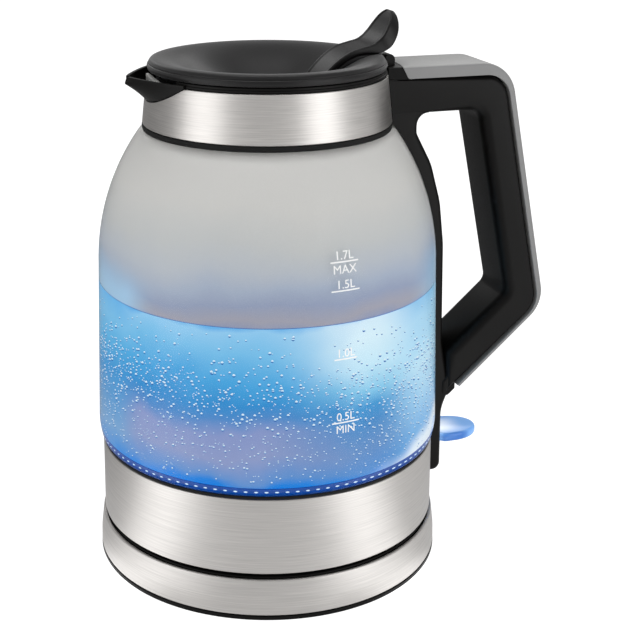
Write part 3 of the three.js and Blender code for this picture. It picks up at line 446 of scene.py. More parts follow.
def water_look():
    """Boiling water that glows with painted light, blue from below; its painted colours of light run over height and
    round the wall.
    """
    m = Look("water", Roughness=0.25, IOR=1.33, Emission_Strength=0.74)
    where, x, y, z = m.place()
    way, height = on_the_wall(m, x, y, z)
    cloud = m.noise(where, 38.0, 2.0)
    height = m.math("ADD", height, m.remap(cloud, 0.2, 0.8, -5.0, 5.0))
    low, high = 57.0, 133.0
    # Painted light: these ramps are the blue light from below, set by height and by the way round the wall.
    left = height_ramp(m, height, low, high, [
        (58, (0, 122, 222)), (60, (20, 128, 220)), (63.5, (96, 144, 206)), (73, (140, 154, 198)),
        (84, (134, 150, 199)), (92, (76, 136, 200)), (99, (46, 140, 206)), (109, (68, 163, 221)),
        (120, (116, 189, 232)), (129, (142, 200, 237)), (131.5, (105, 178, 233))])
    right = height_ramp(m, height, low, high, [
        (58, (0, 124, 222)), (60, (24, 130, 220)), (63.5, (78, 138, 204)), (73, (94, 140, 196)), (84, (64, 136, 198)),
        (93, (56, 148, 208)), (102, (130, 198, 232)), (111, (195, 231, 247)), (120, (213, 238, 249)),
        (129, (208, 233, 247)), (131.5, (150, 202, 240))])
    edge = height_ramp(m, height, low, high, [
        (58, (50, 136, 220)), (66, (100, 166, 222)), (76, (130, 184, 228)), (88, (156, 204, 236)),
        (100, (186, 224, 243)), (112, (172, 218, 243)), (122, (168, 214, 241)), (131.5, (140, 196, 235))])
    far_left = height_ramp(m, height, low, high, [
        (58, (0, 118, 216)), (61, (60, 138, 212)), (70, (118, 163, 208)), (84, (92, 154, 208)),
        (97, (62, 150, 211)), (110, (88, 175, 225)), (122, (120, 190, 232)), (131.5, (100, 176, 232))])
    to_right = m.remap(m.math("ADD", way, m.remap(cloud, 0.2, 0.8, -0.03, 0.03)), 0.60, 0.40, smooth=True)
    to_edge = m.remap(way, 0.39, 0.25, smooth=True)
    color = m.mix(to_edge, m.mix(to_right, left, right), edge)
    color = m.mix(m.remap(way, 0.84, 0.93, smooth=True), color, far_left)
    # Painted light: a near-white glow low down on the handle's side.
    glow_top = m.remap(way, 0.40, 0.12, 59.0, 70.0, smooth=True)
    under_top = m.remap(m.math("SUBTRACT", height, glow_top), 6.0, -4.0, smooth=True)
    glow = m.math("MULTIPLY", under_top, m.remap(way, 0.43, 0.30, 0.0, 0.85, smooth=True))
    color = m.mix(glow, color, (*srgb(238, 246, 250), 1))
    m.set("Base Color", m.mix(0.72, color, (0, 0, 0, 1)))
    m.set("Emission Color", color)
    m.bump(m.noise(where, 260.0, 2.0), 0.15, 0.0003)
    return m.material


def bubble_look():
    """A bubble with painted light: a painted highlight on its top and painted shade on its lower half, glowing
    faintly.
    """
    m = Look("bubble", Roughness=0.12, IOR=1.33, Emission_Strength=0.72)
    normal = m.add("SeparateXYZ", Vector=m.nodes.new("ShaderNodeNewGeometry").outputs["Normal"]).outputs[2]
    # Painted highlight and painted shade by the way the surface faces: bright upwards, dark downwards.
    upper = m.ramp(m.remap(normal, -0.9, 0.9), [
        (0.0, srgb(10, 62, 145)), (0.35, srgb(28, 98, 178)), (0.52, srgb(85, 158, 216)),
        (0.70, srgb(205, 236, 252)), (1.0, srgb(245, 252, 255))])
    m.set("Base Color", m.mix(0.75, upper, (0, 0, 0, 1)))
    m.set("Emission Color", upper)
    return m.material


def mist_look():
    """Condensation on the inside of the glass above the water, with painted light from the water in it, bluer near the
    water.
    """
    m = Look("mist", IOR=1.33, Emission_Strength=0.125)
    where, x, y, z = m.place()
    way, height = on_the_wall(m, x, y, z)
    cloud = m.noise(where, 26.0, 3.0)
    height = m.math("ADD", height, m.remap(cloud, 0.25, 0.75, -4.0, 4.0))
    color = height_ramp(m, height, 128.0, 212.0, [
        (128, (128, 142, 178)), (133, (158, 157, 170)), (139, (142, 153, 180)), (146, (160, 172, 191)),
        (154, (178, 184, 192)), (164, (188, 190, 190)), (178, (198, 197, 194)), (210, (203, 201, 198))])
    # Painted light: a blue glow at the sides, low down near the water.
    rim = m.math("MAXIMUM", m.remap(way, 0.30, 0.14, smooth=True), m.remap(way, 0.80, 0.90, smooth=True))
    low = m.remap(height, 152.0, 136.0, smooth=True)
    color = m.mix(m.math("MULTIPLY", rim, low), color, (*srgb(160, 196, 224), 1))
    grain = m.noise(where, 2600.0, 1.0)
    m.set("Base Color", m.mix(m.remap(grain, 0.3, 0.7, 0.0, 0.06), color, (1, 1, 1, 1)))
    m.set("Roughness", m.remap(grain, 0.3, 0.7, 0.5, 0.7))
    m.set("Emission Color", color)
    return m.material


def glass_look():
    """The jug's glass; its low index stands in for a wall with water and mist behind it."""
    m = Look("glass", Transmission_Weight=1.0, IOR=1.12)
    where, *_ = m.place()
    wave = m.noise(where, 30.0, 1.0)
    m.set("Base Color", m.mix(wave, (0.965, 0.98, 0.985, 1), (0.99, 0.995, 1, 1)))
    m.set("Roughness", m.remap(wave, 0.3, 0.7, 0.10, 0.14))
    return m.material


def paddle_look():
    """Clear blue plastic with painted light: a painted glow from the lamp behind its root, and painted shade along its
    sides.
    """
    m = Look("clear_blue", IOR=1.46, Transmission_Weight=0.35, Emission_Strength=0.42)
    where, x, y, _ = m.place()
    out = m.math("MULTIPLY", x, 1000.0)
    side = m.math("ABSOLUTE", m.math("MULTIPLY", y, 1000.0))
    # Painted light: a near-white glow at the root, round the middle.
    glow = m.math("MULTIPLY", m.remap(out, 101, 87, smooth=True), m.remap(side, 10.5, 3.0, smooth=True))
    color = m.mix(glow, (*srgb(118, 165, 214), 1), (*srgb(238, 243, 248), 1))
    # Painted shade: darker blue along the sides.
    rim = m.remap(side, 8.5, 10.8, smooth=True)
    color = m.mix(rim, color, (*srgb(52, 104, 172), 1))
    m.set("Base Color", color)
    m.set("Roughness", m.remap(m.noise(where, 300.0), 0.3, 0.7, 0.08, 0.16))
    m.set("Emission Color", color)
    return m.material


def glow_look(name, color, strength):
    """A lit surface of one display colour, with a faint mottle."""
    m = Look(name, Roughness=0.3, Emission_Strength=strength)
    where, *_ = m.place()
    tone = m.mix(m.noise(where, 160.0), scaled(srgb(*color), 0.8), scaled(srgb(*color), 1.15))
    m.set("Base Color", m.mix(0.6, tone, (0, 0, 0, 1)))
    m.set("Emission Color", tone)
    return m.material


STEEL = turned_steel("brushed_steel", srgb(205, 202, 199), 0.46)
BLACK = plastic("black_plastic", (0.0032, 0.0029, 0.0027), 0.38, level=0.13)
LID = plastic("lid_plastic", (0.0050, 0.0046, 0.0050), 0.40, level=0.27, sheen=0.24)
LEVER = plastic("lever_plastic", (0.0036, 0.0033, 0.0034), 0.34, level=0.24)
RUBBER = plastic("rubber", (0.008, 0.008, 0.008), 0.75, level=0.2)
GREY = trim_look()
WHITE = plastic("white_plastic", srgb(225, 225, 222), 0.5, spread=0.04)
INK = plastic("white_print", srgb(250, 250, 250), 0.6, spread=0.02, depth=0.02)
METAL = plain_metal("plain_steel", (0.55, 0.54, 0.52), 0.28)
ALUMINIUM = plain_metal("aluminium", (0.6, 0.6, 0.61), 0.45)
BRASS = plain_metal("brass", (0.72, 0.5, 0.2), 0.28)
BOARD = plastic("board", (0.01, 0.09, 0.03), 0.5, spread=0.3)
WATER, BUBBLE, MIST, GLASS = water_look(), bubble_look(), mist_look(), glass_look()
PADDLE = paddle_look()
BLUE_GLOW = glow_look("blue_glow", (0, 66, 150), 0.8)
# Painted shade of the waterline, on a surface that glows faintly.
LINE = glow_look("waterline", (52, 108, 184), 0.7)
DOT_GLOW = glow_look("dot_glow", (205, 228, 252), 0.85)


def piece(obj, body, material, nodes=()):
    """Finishes a piece: its material, the body that it rides on and the CAD nodes that it stands for."""
    obj.data.materials.clear()
    obj.data.materials.append(material)
    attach(obj, body)
    if nodes:
        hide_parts(*nodes)
    return obj


# ---- carried-over CAD nodes ----
CAD_LOOKS = {
    "black": BLACK, "rubber": RUBBER, "silicone": RUBBER, "steel": STEEL, "screw_steel": METAL,
    "aluminium": ALUMINIUM, "brass": BRASS, "clear_blue": PADDLE, "board": BOARD, "white_plastic": WHITE,
    "grey_trim": GREY, "glass": GLASS,
}


def dress_cad():
    """Gives every CAD node the look of its material slot, which its loaded material is named after."""
    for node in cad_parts.values():
        slot = node.data.materials[0].name
        node.data.materials.clear()
        node.data.materials.append(CAD_LOOKS[slot])


# ---- shared curves ----
def glass_r(z):
    if z < BULGE_Z:
        return GLASS_FOOT_R + (BULGE_R - GLASS_FOOT_R) * math.sin(math.pi / 2 * (z - GLASS_Z) / (BULGE_Z - GLASS_Z))
    if z < SHOULDER_Z:
        return BULGE_R - TAPER * (z - BULGE_Z)
    lean = math.atan(TAPER)
    start = BULGE_R - TAPER * (SHOULDER_Z - BULGE_Z)
    centre_z = SHOULDER_Z - SHOULDER_ARC_R * math.sin(lean)
    centre_r = start - SHOULDER_ARC_R * math.cos(lean)
    return centre_r + math.sqrt(SHOULDER_ARC_R ** 2 - (z - centre_z) ** 2)


def glass_line(inset, low, high, count):
    """Points of the glass wall's line between two heights, moved inwards."""
    line = []
    for k in range(count + 1):
        z = low + (high - low) * k / count
        slope = math.asin(max(0, z - SHOULDER_Z) / SHOULDER_ARC_R)
        line.append((glass_r(z) - inset * math.cos(slope), z - inset * math.sin(slope)))
    return line


# ---- power base ----
def build_base():
    skirt = fillet([(78.1, 2.3, 0.2), (79.4, 2.3, 0.5), (79.2, 9, 20), (78.0, 18.5, 0.7), (76.7, 18.5, 0.2)])
    piece(lathe("base_shell", skirt), "power_base", STEEL, ["base_skirt"])
    tray = fillet([(0, 0, 0), (79.5, 0, 0.5), (79.4, 1.9, 0.3), (77.6, 1.9, 0), (77.6, 3.6, 0), (75.8, 3.6, 0),
                   (75.8, 2.6, 0), (0, 2.6, 0)])
    piece(lathe("base_tray", tray), "power_base", BLACK, ["base_bottom_cover"])
    plate = fillet([(15.4, 16.8, 0), (74.6, 16.8, 0), (76.2, 17.4, 0.3), (76.2, 18.9, 0.5), (75.4, 19.4, 0.5),
                    (60, 19.4, 0.4), (59.4, 18.9, 0.3), (57.6, 18.9, 0.3), (57, 19.4, 0.4), (24, 19.4, 1.0),
                    (22, 18.4, 1.0), (15.4, 18.4, 0)], 4)
    piece(lathe("base_plate", plate), "power_base", BLACK, ["base_top_cover"])
    tower = fillet([(0, 9, 0), (20, 9, 0), (20, 11, 0), (14.8, 11, 0), (14.8, 31, 1.2), (9.4, 31, 0.5), (9.4, 13, 0),
                    (5.2, 13, 0), (5.2, 30, 0.4), (2.2, 30, 0.4), (2.2, 13, 0), (0, 13, 0)], 4)
    piece(lathe("connector_tower", tower, 96), "power_base", BLACK, ["base_connector"])
    for k in range(4):
        a = math.pi / 4 + k * math.pi / 2
        foot = fillet([(0, 0, 0), (7, 0, 0.6), (7, 1.5, 0.2), (0, 1.5, 0)], 4)
        obj = lathe(f"foot_pad_{k + 1}", foot, 48, (62 * math.cos(a), 62 * math.sin(a)))
        piece(obj, "power_base", RUBBER, [f"base_foot_{k + 1}"])
    outlet = fillet([(2.2, 70, 0), (3.9, 70, 0), (3.9, 80.2, 0.3), (5.2, 80.2, 0.4), (4.6, 82.4, 0.8),
                     (2.2, 82.4, 0.3)], 4)
    obj = lathe("cord_bushing", outlet, 48)
    obj.data.transform(Matrix.Translation((0, 0, 0.009)) @ Matrix.Rotation(-math.pi / 2, 4, "X"))
    piece(obj, "power_base", BLACK, ["cord_outlet"])


# ---- jug ----
def build_lower_jug():
    band = fillet([(76.2, BAND_Z, 0.2), (77.2, BAND_Z, 0.45), (76.8, BAND_TOP_Z, 0.5), (75.8, BAND_TOP_Z, 0.2)])
    piece(lathe("steel_band_lower", band), "jug", STEEL, ["lower_band"])
    seal = fillet([(73.4, 56, 0), (76.7, 56, 0.4), (77.0, 57.4, 0.4), (73.4, 57.4, 0)], 3)
    piece(lathe("seal_lower", seal), "jug", RUBBER, ["lower_seal"])
    cover = fillet([(19.3, 19.9, 0.2), (75.6, 19.9, 0.5), (76.4, 20.7, 0.3), (75.7, 21.1, 0), (75.7, 24.4, 0),
                    (73.8, 24.4, 0), (73.8, 22.2, 0), (19.3, 22.2, 0)], 3)
    piece(lathe("jug_floor", cover), "jug", BLACK, ["jug_bottom_cover"])
    ring = [(66.5, 51.5), (72.6, 51.5), (72.6, 57.7), (75.0, 57.75), (75.35, 60.3), (74.2, 60.45), (74.2, 58.2),
            (66.5, 57.9)]
    piece(lathe("glow_ring", ring), "jug", BLUE_GLOW, ["light_ring"])
    build_dashes()


def build_dashes(count=108):
    """The row of lit dashes on the ring, longer towards the handle."""
    bm = bmesh.new()
    for k in range(count):
        a = 2 * math.pi * k / count
        made = bmesh.ops.create_icosphere(bm, subdivisions=1, radius=0.3 * MM)["verts"]
        stretch = 1.0 + 0.8 * max(0.0, math.cos(a))
        for v in made:
            v.co = Vector((v.co.x, v.co.y * 3.2 * stretch, v.co.z * 1.2))
        spot = Matrix.Rotation(a, 4, "Z") @ Matrix.Translation(Vector((75.3, 0, 58.9)) * MM)
        bmesh.ops.transform(bm, matrix=spot, verts=made)
    piece(new_object("glow_dashes", bm), "jug", DOT_GLOW)


def build_glass():
    outer = [(GLASS_FOOT_R - 0.4, GLASS_Z), (GLASS_FOOT_R, GLASS_Z + 0.4)]
    outer += glass_line(0, GLASS_Z + 1.0, BULGE_Z, 8)[:-1] + glass_line(0, BULGE_Z, SHOULDER_Z, 24)[:-1]
    outer += glass_line(0, SHOULDER_Z, 198.6, 32) + [(55.0, NECK_Z), (53.2, NECK_Z), (53.2, 208.5)]
    inner = glass_line(WALL, GLASS_Z + 1.4, BULGE_Z, 8)[:-1] + glass_line(WALL, BULGE_Z, SHOULDER_Z, 24)[:-1]
    inner += glass_line(WALL, SHOULDER_Z, 198.6, 32)
    inner = [(GLASS_FOOT_R - WALL, GLASS_Z)] + inner + [(50.8, 198.4), (50.8, 208.5)]
    piece(lathe("glass_wall", outer + inner[::-1], smooth_angle=50), "jug", GLASS, ["glass_body"])

    skin = WALL - FILM_OVERLAP
    side = glass_line(skin, 60.6, BULGE_Z, 4)[:-1] + glass_line(skin, BULGE_Z, WATER_Z, 24)
    top_r = side[-1][0]
    water = [(0, WATER_LOW_Z), (side[0][0] - 0.6, WATER_LOW_Z)] + side
    water += [(top_r - 0.35, WATER_Z - 0.5), (top_r - 1.2, WATER_Z - 0.9), (top_r - 3.5, WATER_Z - 1.1),
              (0, WATER_Z - 1.15)]
    piece(lathe("water_body", water, smooth_angle=60), "jug", WATER)

    film = glass_line(skin, WATER_Z + 0.3, SHOULDER_Z, 6)[:-1] + glass_line(skin, SHOULDER_Z, 198.5, 30)
    film += [(50.9, 198.5), (50.9, 207.8)]
    back = glass_line(WALL + 0.5, WATER_Z + 0.3, SHOULDER_Z, 6)[:-1] + glass_line(WALL + 0.5, SHOULDER_Z, 198.0, 30)
    back += [(50.4, 198.2), (50.4, 207.8)]
    piece(lathe("mist_film", film + back[::-1], smooth_angle=60), "jug", MIST)


def build_waterline():
    """A painted dark line where the water climbs the glass: painted shade on a thin ring that glows faintly."""
    r = glass_r(WATER_Z) - WALL - 0.02
    line = [(r, WATER_Z - 0.5), (r, WATER_Z + 0.3), (r - 0.45, WATER_Z + 0.2), (r - 0.6, WATER_Z - 0.1)]
    piece(lathe("waterline", line, smooth_angle=60), "jug", LINE)


def build_bubbles(count=4600):
    """Bubbles on the inside of the glass, dense in a belt and on the handle's side."""
    bm = bmesh.new()
    bmesh.ops.create_icosphere(bm, subdivisions=1, radius=MM)
    ball = [v.co.copy() for v in bm.verts]
    faces = [[v.index for v in face.verts] for face in bm.faces]
    bm.free()
    corners, polygons = [], []
    placed = 0
    while placed < count:
        a = random.uniform(-math.pi, math.pi)
        z = random.uniform(WATER_LOW_Z + 2, WATER_Z - 3)
        share = abs(a) / math.pi
        belt = math.exp(-((z - 98 - 10 * (share - 0.5)) / 13) ** 2)
        low = 0.5 * math.exp(-((z - 76) / 14) ** 2)
        weight = 0.10 + belt * (0.55 + 0.45 * share) + low
        if share < 0.36:
            weight += 0.55 * math.exp(-((z - 88) / 18) ** 2)
        if random.random() > weight:
            continue
        size = random.choice((0.28, 0.35, 0.43, 0.54, 0.72)) * (0.75 if z < 84 else 1.0)
        size *= random.uniform(0.85, 1.15)
        r = glass_r(z) - WALL + 0.1
        spot = Vector((r * math.cos(a), r * math.sin(a), z)) * MM
        start = len(corners)
        corners += [spot + co * size for co in ball]
        polygons += [[start + i for i in face] for face in faces]
        placed += 1
    mesh = bpy.data.meshes.new("water_bubbles")
    mesh.from_pydata(corners, [], polygons)
    obj = bpy.data.objects.new("water_bubbles", mesh)
    bpy.context.collection.objects.link(obj)
    shade(obj, 180)
    piece(obj, "jug", BUBBLE)


def build_marks():
    """White litre marks printed on the near side of the glass. Each is (height, line width, text above, below)."""
    centre = math.radians(-81.6)
    marks = [
        (157.8, 12.6, "1.7L", "MAX"), (146.0, 12.8, "1.5L", None),
        (116.7, 10.4, "1.0L", None), (88.8, 12.6, "0.5L", "MIN"),
    ]
    bm = bmesh.new()
    for z, width, above, below in marks:
        steps = 16
        grid = [[bm.verts.new((width * (k / steps - 0.5), dz, d)) for k in range(steps + 1)]
                for dz, d in ((-0.28, 0), (0.28, 0), (0.28, 0.12), (-0.28, 0.12))]
        for lower, upper in zip(grid, grid[1:] + grid[:1]):
            for k in range(steps):
                bm.faces.new((lower[k], lower[k + 1], upper[k + 1], upper[k]))
        bm.faces.new([row[0] for row in grid])
        bm.faces.new([row[-1] for row in grid][::-1])
        flat = [(v, z) for row in grid for v in row]
        for text, lift in ((above, 0.95), (below, -4.7)):
            if text is None:
                continue
            curve = bpy.data.curves.new("mark", "FONT")
            curve.body, curve.align_x, curve.size, curve.extrude = text, "CENTER", 5.0, 0.06
            holder = bpy.data.objects.new("mark", curve)
            bpy.context.collection.objects.link(holder)
            graph = bpy.context.evaluated_depsgraph_get()
            mesh = bpy.data.meshes.new_from_object(holder.evaluated_get(graph))
            start = len(bm.verts)
            bm.from_mesh(mesh)
            bm.verts.ensure_lookup_table()
            for v in bm.verts[start:]:
                v.co = Vector((v.co.x, v.co.y + lift, v.co.z + 0.06))
                flat.append((v, z))
            bpy.data.objects.remove(holder)
        for v, level in flat:
            h = level + v.co.y
            r = glass_r(h) + 0.03 + v.co.z
            a = centre + v.co.x / glass_r(h)
            v.co = Vector((r * math.cos(a), r * math.sin(a), h)) * MM
    bmesh.ops.remove_doubles(bm, verts=bm.verts, dist=0.0004 * MM)
    piece(new_object("litre_marks", bm, 30), "jug", INK)


# ---- neck and spout ----
SPOUT_HALF, SPOUT_RIM_Z = math.radians(34), 224.4
NOSE_WIDTH, NOSE_FALL = 3.0, 9.3 / 1.1  # how much the lip swells at its sides, and how fast that ends at its tip


def beak_sections(grow, root_r, columns, steps, top=None):
    """Sections of the spout from the collar to its lip, grown in mm; with top, each is closed over its upper edge."""
    edge, low_z, tip_x, mouth_r, lip_half = 1.2, 213.6, -62.9, 53.6, 1.7
    half = SPOUT_HALF + grow / mouth_r
    depth = SPOUT_RIM_Z - low_z - edge + grow
    sides = [2 * c / columns - 1 for c in range(columns + 1)]

    def arc(radius):
        line = []
        for s in sides:
            a = math.pi + s * half
            z = SPOUT_RIM_Z - edge - depth * (1 - abs(s) ** 1.8)
            line.append(Vector((radius * math.cos(a), radius * math.sin(a), z)))
        return line

    lip_z = SPOUT_RIM_Z - edge
    lip = [Vector((tip_x - grow + 0.9 * s * s, -s * (lip_half + grow), lip_z - (2 + grow) * (1 - abs(s) ** 1.8)))
           for s in sides]
    mouth = arc(mouth_r)
    sections = [arc(root_r)]
    for k in range(steps + 1):
        t = k / steps
        bulge = 1 + 0.10 * math.sin(math.pi * t)
        nose = NOSE_WIDTH * t * (1 - math.exp(-(1 - t) * NOSE_FALL))
        section = [m.lerp(p, t) for m, p in zip(mouth, lip)]
        sections.append([Vector((p.x, p.y * bulge - s * nose, p.z + 0.5 * math.sin(math.pi * t) * (1 - abs(s))))
                         for p, s in zip(section, sides)])
    if top is not None:
        sections = [[*line, Vector((line[-1].x, line[-1].y, top)), Vector((line[0].x, line[0].y, top))]
                    for line in sections]
    return sections


def build_neck():
    seal = fillet([(53.6, 199.6, 0), (54.9, 199.6, 0.4), (55.2, 202.0, 0.4), (53.6, 202.0, 0)], 3)
    piece(lathe("seal_neck", seal), "jug", RUBBER, ["neck_seal"])
    band = fillet([(54.0, 202.3, 0.2), (55.0, 202.3, 0.45), (52.7, 222.8, 0.35), (51.7, 222.8, 0.2)])
    obj = lathe("steel_band_neck", band)
    cut(obj, loft("tool", beak_sections(0.5, 47, 40, 10, top=229)))
    piece(obj, "jug", STEEL, ["neck_band"])

    collar = fillet([(49.6, 208.9, 0), (51.2, 208.9, 0), (51.2, 223.2, 0), (52.3, 223.2, 0.25), (52.45, 224.0, 0.25),
                     (51.9, 224.3, 0.15), (52.0, 225.2, 0.35), (49.6, 225.2, 0.2)], 4)
    obj = lathe("collar", collar)
    cut(obj, box("tool", (-60, -44), (-24, 24), (214.5, 230)))
    bm = bmesh.new()
    grid = []
    for line in beak_sections(0, 50.6, 40, 14):
        first, last = (Vector((end.x, end.y, SPOUT_RIM_Z)) for end in (line[0], line[-1]))
        grid.append([bm.verts.new(p * MM) for p in [first, *line, last]])
    for lower, upper in zip(grid, grid[1:]):
        for k in range(len(lower) - 1):
            bm.faces.new((lower[k], lower[k + 1], upper[k + 1], upper[k]))
    beak = new_object("spout_beak", bm, 50)
    # The shell's faces have to look outwards and down, because the wall grows inwards.
    if beak.data.polygons[len(beak.data.polygons) // 2].normal.z > 0:
        beak.data.flip_normals()
    thick = beak.modifiers.new("wall", "SOLIDIFY")
    thick.thickness, thick.offset, thick.use_even_offset = 1.4 * MM, -1, True
    soft = beak.modifiers.new("edges", "BEVEL")
    soft.width, soft.segments, soft.limit_method, soft.angle_limit = 0.45 * MM, 3, "ANGLE", math.radians(50)
    piece(beak, "jug", BLACK, ["neck_collar"])
    piece(obj, "jug", BLACK, ["neck_collar"])


# ---- handle ----
TOP_Z, DEPTH, GRIP_DEPTH = 225.1, 21.6, 18.3  # the top arm's depth, and the leg's and lower arm's
LEG_X, LEG_Z, LEAN = 118.4, 182.7, 0.202  # a point on the leg's outer line, and how it leans
ARM_X, ARM_Z, SLOPE = 106.2, 83.6, 0.915  # the same for the lower arm
COVER_TOP, COVER_SIDE, COVER_ARM = 5.4, 2.8, 1.7  # the grey cover's thickness on each stretch
UNDER_Z = TOP_Z - DEPTH
START_X, END_X = 59.4, 90.2  # where the cover starts and ends
JUG_GAP = 0.45  # between the handle and the jug
PIN_SLOT = ((50, 57.6), (-5.2, 5.2), (222.4, 232))  # room for the lid's knuckle


def leg_x(z, inset):
    return LEG_X - inset + (LEG_Z - z) * LEAN


def arm_z(x, inset):
    return ARM_Z + SLOPE * (x - ARM_X) + inset * math.hypot(1, SLOPE)


def low_corner(inset, arm_inset):
    zero = ARM_Z + arm_inset * math.hypot(1, SLOPE) - SLOPE * ARM_X
    x = (LEG_X - inset + LEAN * (LEG_Z - zero)) / (1 + LEAN * SLOPE)
    return x, zero + SLOPE * x


def top_corner(top_inset, leg_inset):
    z = TOP_Z - top_inset
    return leg_x(z, leg_inset), z


def envelope(out):
    """The jug's outer surface, grown, as a cutting body."""
    line = [(0, 10), (77.2 + out, 10), (77.2 + out, BAND_Z), (77.0 + out, 56.7)]
    line += [(r + out, z) for r, z in glass_line(0, GLASS_Z, BULGE_Z, 4)[:-1]]
    line += [(r + out, z) for r, z in glass_line(0, BULGE_Z, SHOULDER_Z, 12)[:-1]]
    line += [(r, z) for r, z in glass_line(-out, SHOULDER_Z, 198.0, 24)]
    line += [(55.3 + out, 199.9), (55.2 + out, 202.3), (52.7 + out, 223.0), (52.7 + out, 232), (0, 232)]
    return lathe("tool", line, 128)


def smoothstep(a, b, x):
    t = max(0.0, min(1.0, (x - a) / (b - a)))
    return t * t * (3 - 2 * t)


def build_handle():
    build_cover()
    build_grip()
    build_spine()


def build_cover():
    """The grey trim over the outside of the handle."""
    cover = fillet([
        (50, TOP_Z, 0), (50, TOP_Z - COVER_TOP, 0), (*top_corner(COVER_TOP, COVER_SIDE), 12),
        (*low_corner(COVER_SIDE, COVER_ARM), 13), (END_X, arm_z(END_X, COVER_ARM), 0),
        (END_X + 1.4, arm_z(END_X + 1.4, 0), 0), (*low_corner(0, 0), 16), (*top_corner(0, 0), 17)], 14)
    share = [1, 0] + [0] * 30 + [0, 1] + [1] * 30
    obj = slab("handle_trim", cover, round_rows(15, 1.1, 5), inset_share=share)
    front = [(0, 200), (START_X + 4.2, 200), (START_X + 4.2, 219.2), (START_X + 2.6, 220.2), (START_X, 225.3),
             (START_X, 240), (0, 240)]
    cut(obj, lathe("tool", front, 128), angle=30)
    piece(obj, "jug", GREY, ["handle_cover"])


def build_grip():
    """The black grip inside the cover, and the foot where its lower arm meets the spine."""
    skin, arm_skin = COVER_SIDE + 0.3, COVER_ARM + 0.3
    grip = fillet([
        (50, TOP_Z - COVER_TOP - 0.3, 0), (50, UNDER_Z, 0), (*top_corner(DEPTH, GRIP_DEPTH), 6),
        (*low_corner(GRIP_DEPTH, GRIP_DEPTH), 5), (84, arm_z(84, GRIP_DEPTH), 0), (84, arm_z(84, arm_skin), 0),
        (*low_corner(skin, arm_skin), 12.6), (*top_corner(COVER_TOP + 0.3, skin), 11.6)], 14)
    crown = [(15, 4.8), (14.94, 4.0), (14.75, 3.2), (14.4, 2.4), (13.8, 1.6), (13.0, 0.9), (12.0, 0.4), (10.8, 0.1),
             (9.8, 0)]
    obj = slab("handle_grip_body", grip, crown + [(-out, inset) for out, inset in reversed(crown)],
               width_at=lambda x: 0.9035 + 0.0965 * smoothstep(58, 84, x), smooth_angle=50,
               inset_share=[0.1] * 2 + [1] * 32 + [0.5] * 30)
    cut(obj, envelope(JUG_GAP), angle=50)
    piece(obj, "jug", BLACK, ["handle_grip"])

    foot_x = END_X - 0.3
    foot = [(82, arm_z(82, 9), 0), (82, arm_z(82, 0.2), 3), (foot_x, arm_z(foot_x, 0.2), 1.2),
            (foot_x, arm_z(foot_x, 9), 0)]
    piece(slab("arm_foot", fillet(foot), round_rows(14, 2.0, 5)), "jug", BLACK, ["handle_grip"])


def build_spine():
    """The black spine up the jug's back, its cap behind the lid and the two ears of the lid's hinge."""
    cap_x = START_X - 1.8
    spine = fillet([
        (48, TOP_Z - 0.2, 0), (48, 27, 0), (83.9, 27, 4), (83.5, 59, 20), (86.2, 66, 4), (86.2, 74, 8), (82.6, 93, 30),
        (81.4, 142, 60), (79.0, 162, 40), (74.0, 180, 30), (66.4, 194.5, 5), (66.4, UNDER_Z, 5.4), (72.0, UNDER_Z, 0),
        (72.0, 215.6, 0), (cap_x, 215.6, 0), (cap_x, TOP_Z - 0.2, 0)], 8)
    obj = slab("handle_spine_body", spine, round_rows(13.5, 2.6, 6))
    cut(obj, envelope(JUG_GAP), angle=30)
    cut(obj, box("tool", (70, 95), (-11.8, 11.8), (37, 51.5)), angle=30)
    cut(obj, box("tool", *PIN_SLOT), angle=30)
    piece(obj, "jug", BLACK, ["handle_spine"])

    cap = fillet([(50, 224.95, 0), (50, 219.2, 0), (START_X + 3.9, 219.2, 0), (START_X + 2.3, 220.3, 1),
                  (START_X - 0.3, 224.95, 0.4)], 4)
    cap = slab("handle_cap", cap, round_rows(14.95, 1.1, 5),
               width_at=lambda x: 0.93 + 0.07 * smoothstep(54, 62, x))
    cut(cap, envelope(JUG_GAP), angle=30)
    cut(cap, box("tool", *PIN_SLOT), angle=30)
    piece(cap, "jug", BLACK, ["handle_spine"])
    for k, low in enumerate((5.4, -8.2)):
        ear = fillet([(51.3, 221.5, 0), (56.4, 221.5, 0), (56.5, 229.9, 2.4), (51.3, 229.9, 2.4)], 6)
        rows = [(low, 0.3), (low + 0.3, 0), (low + 2.5, 0), (low + 2.8, 0.3)]
        piece(slab(f"hinge_ear_{k + 1}", ear, rows), "jug", BLACK, ["handle_spine"])


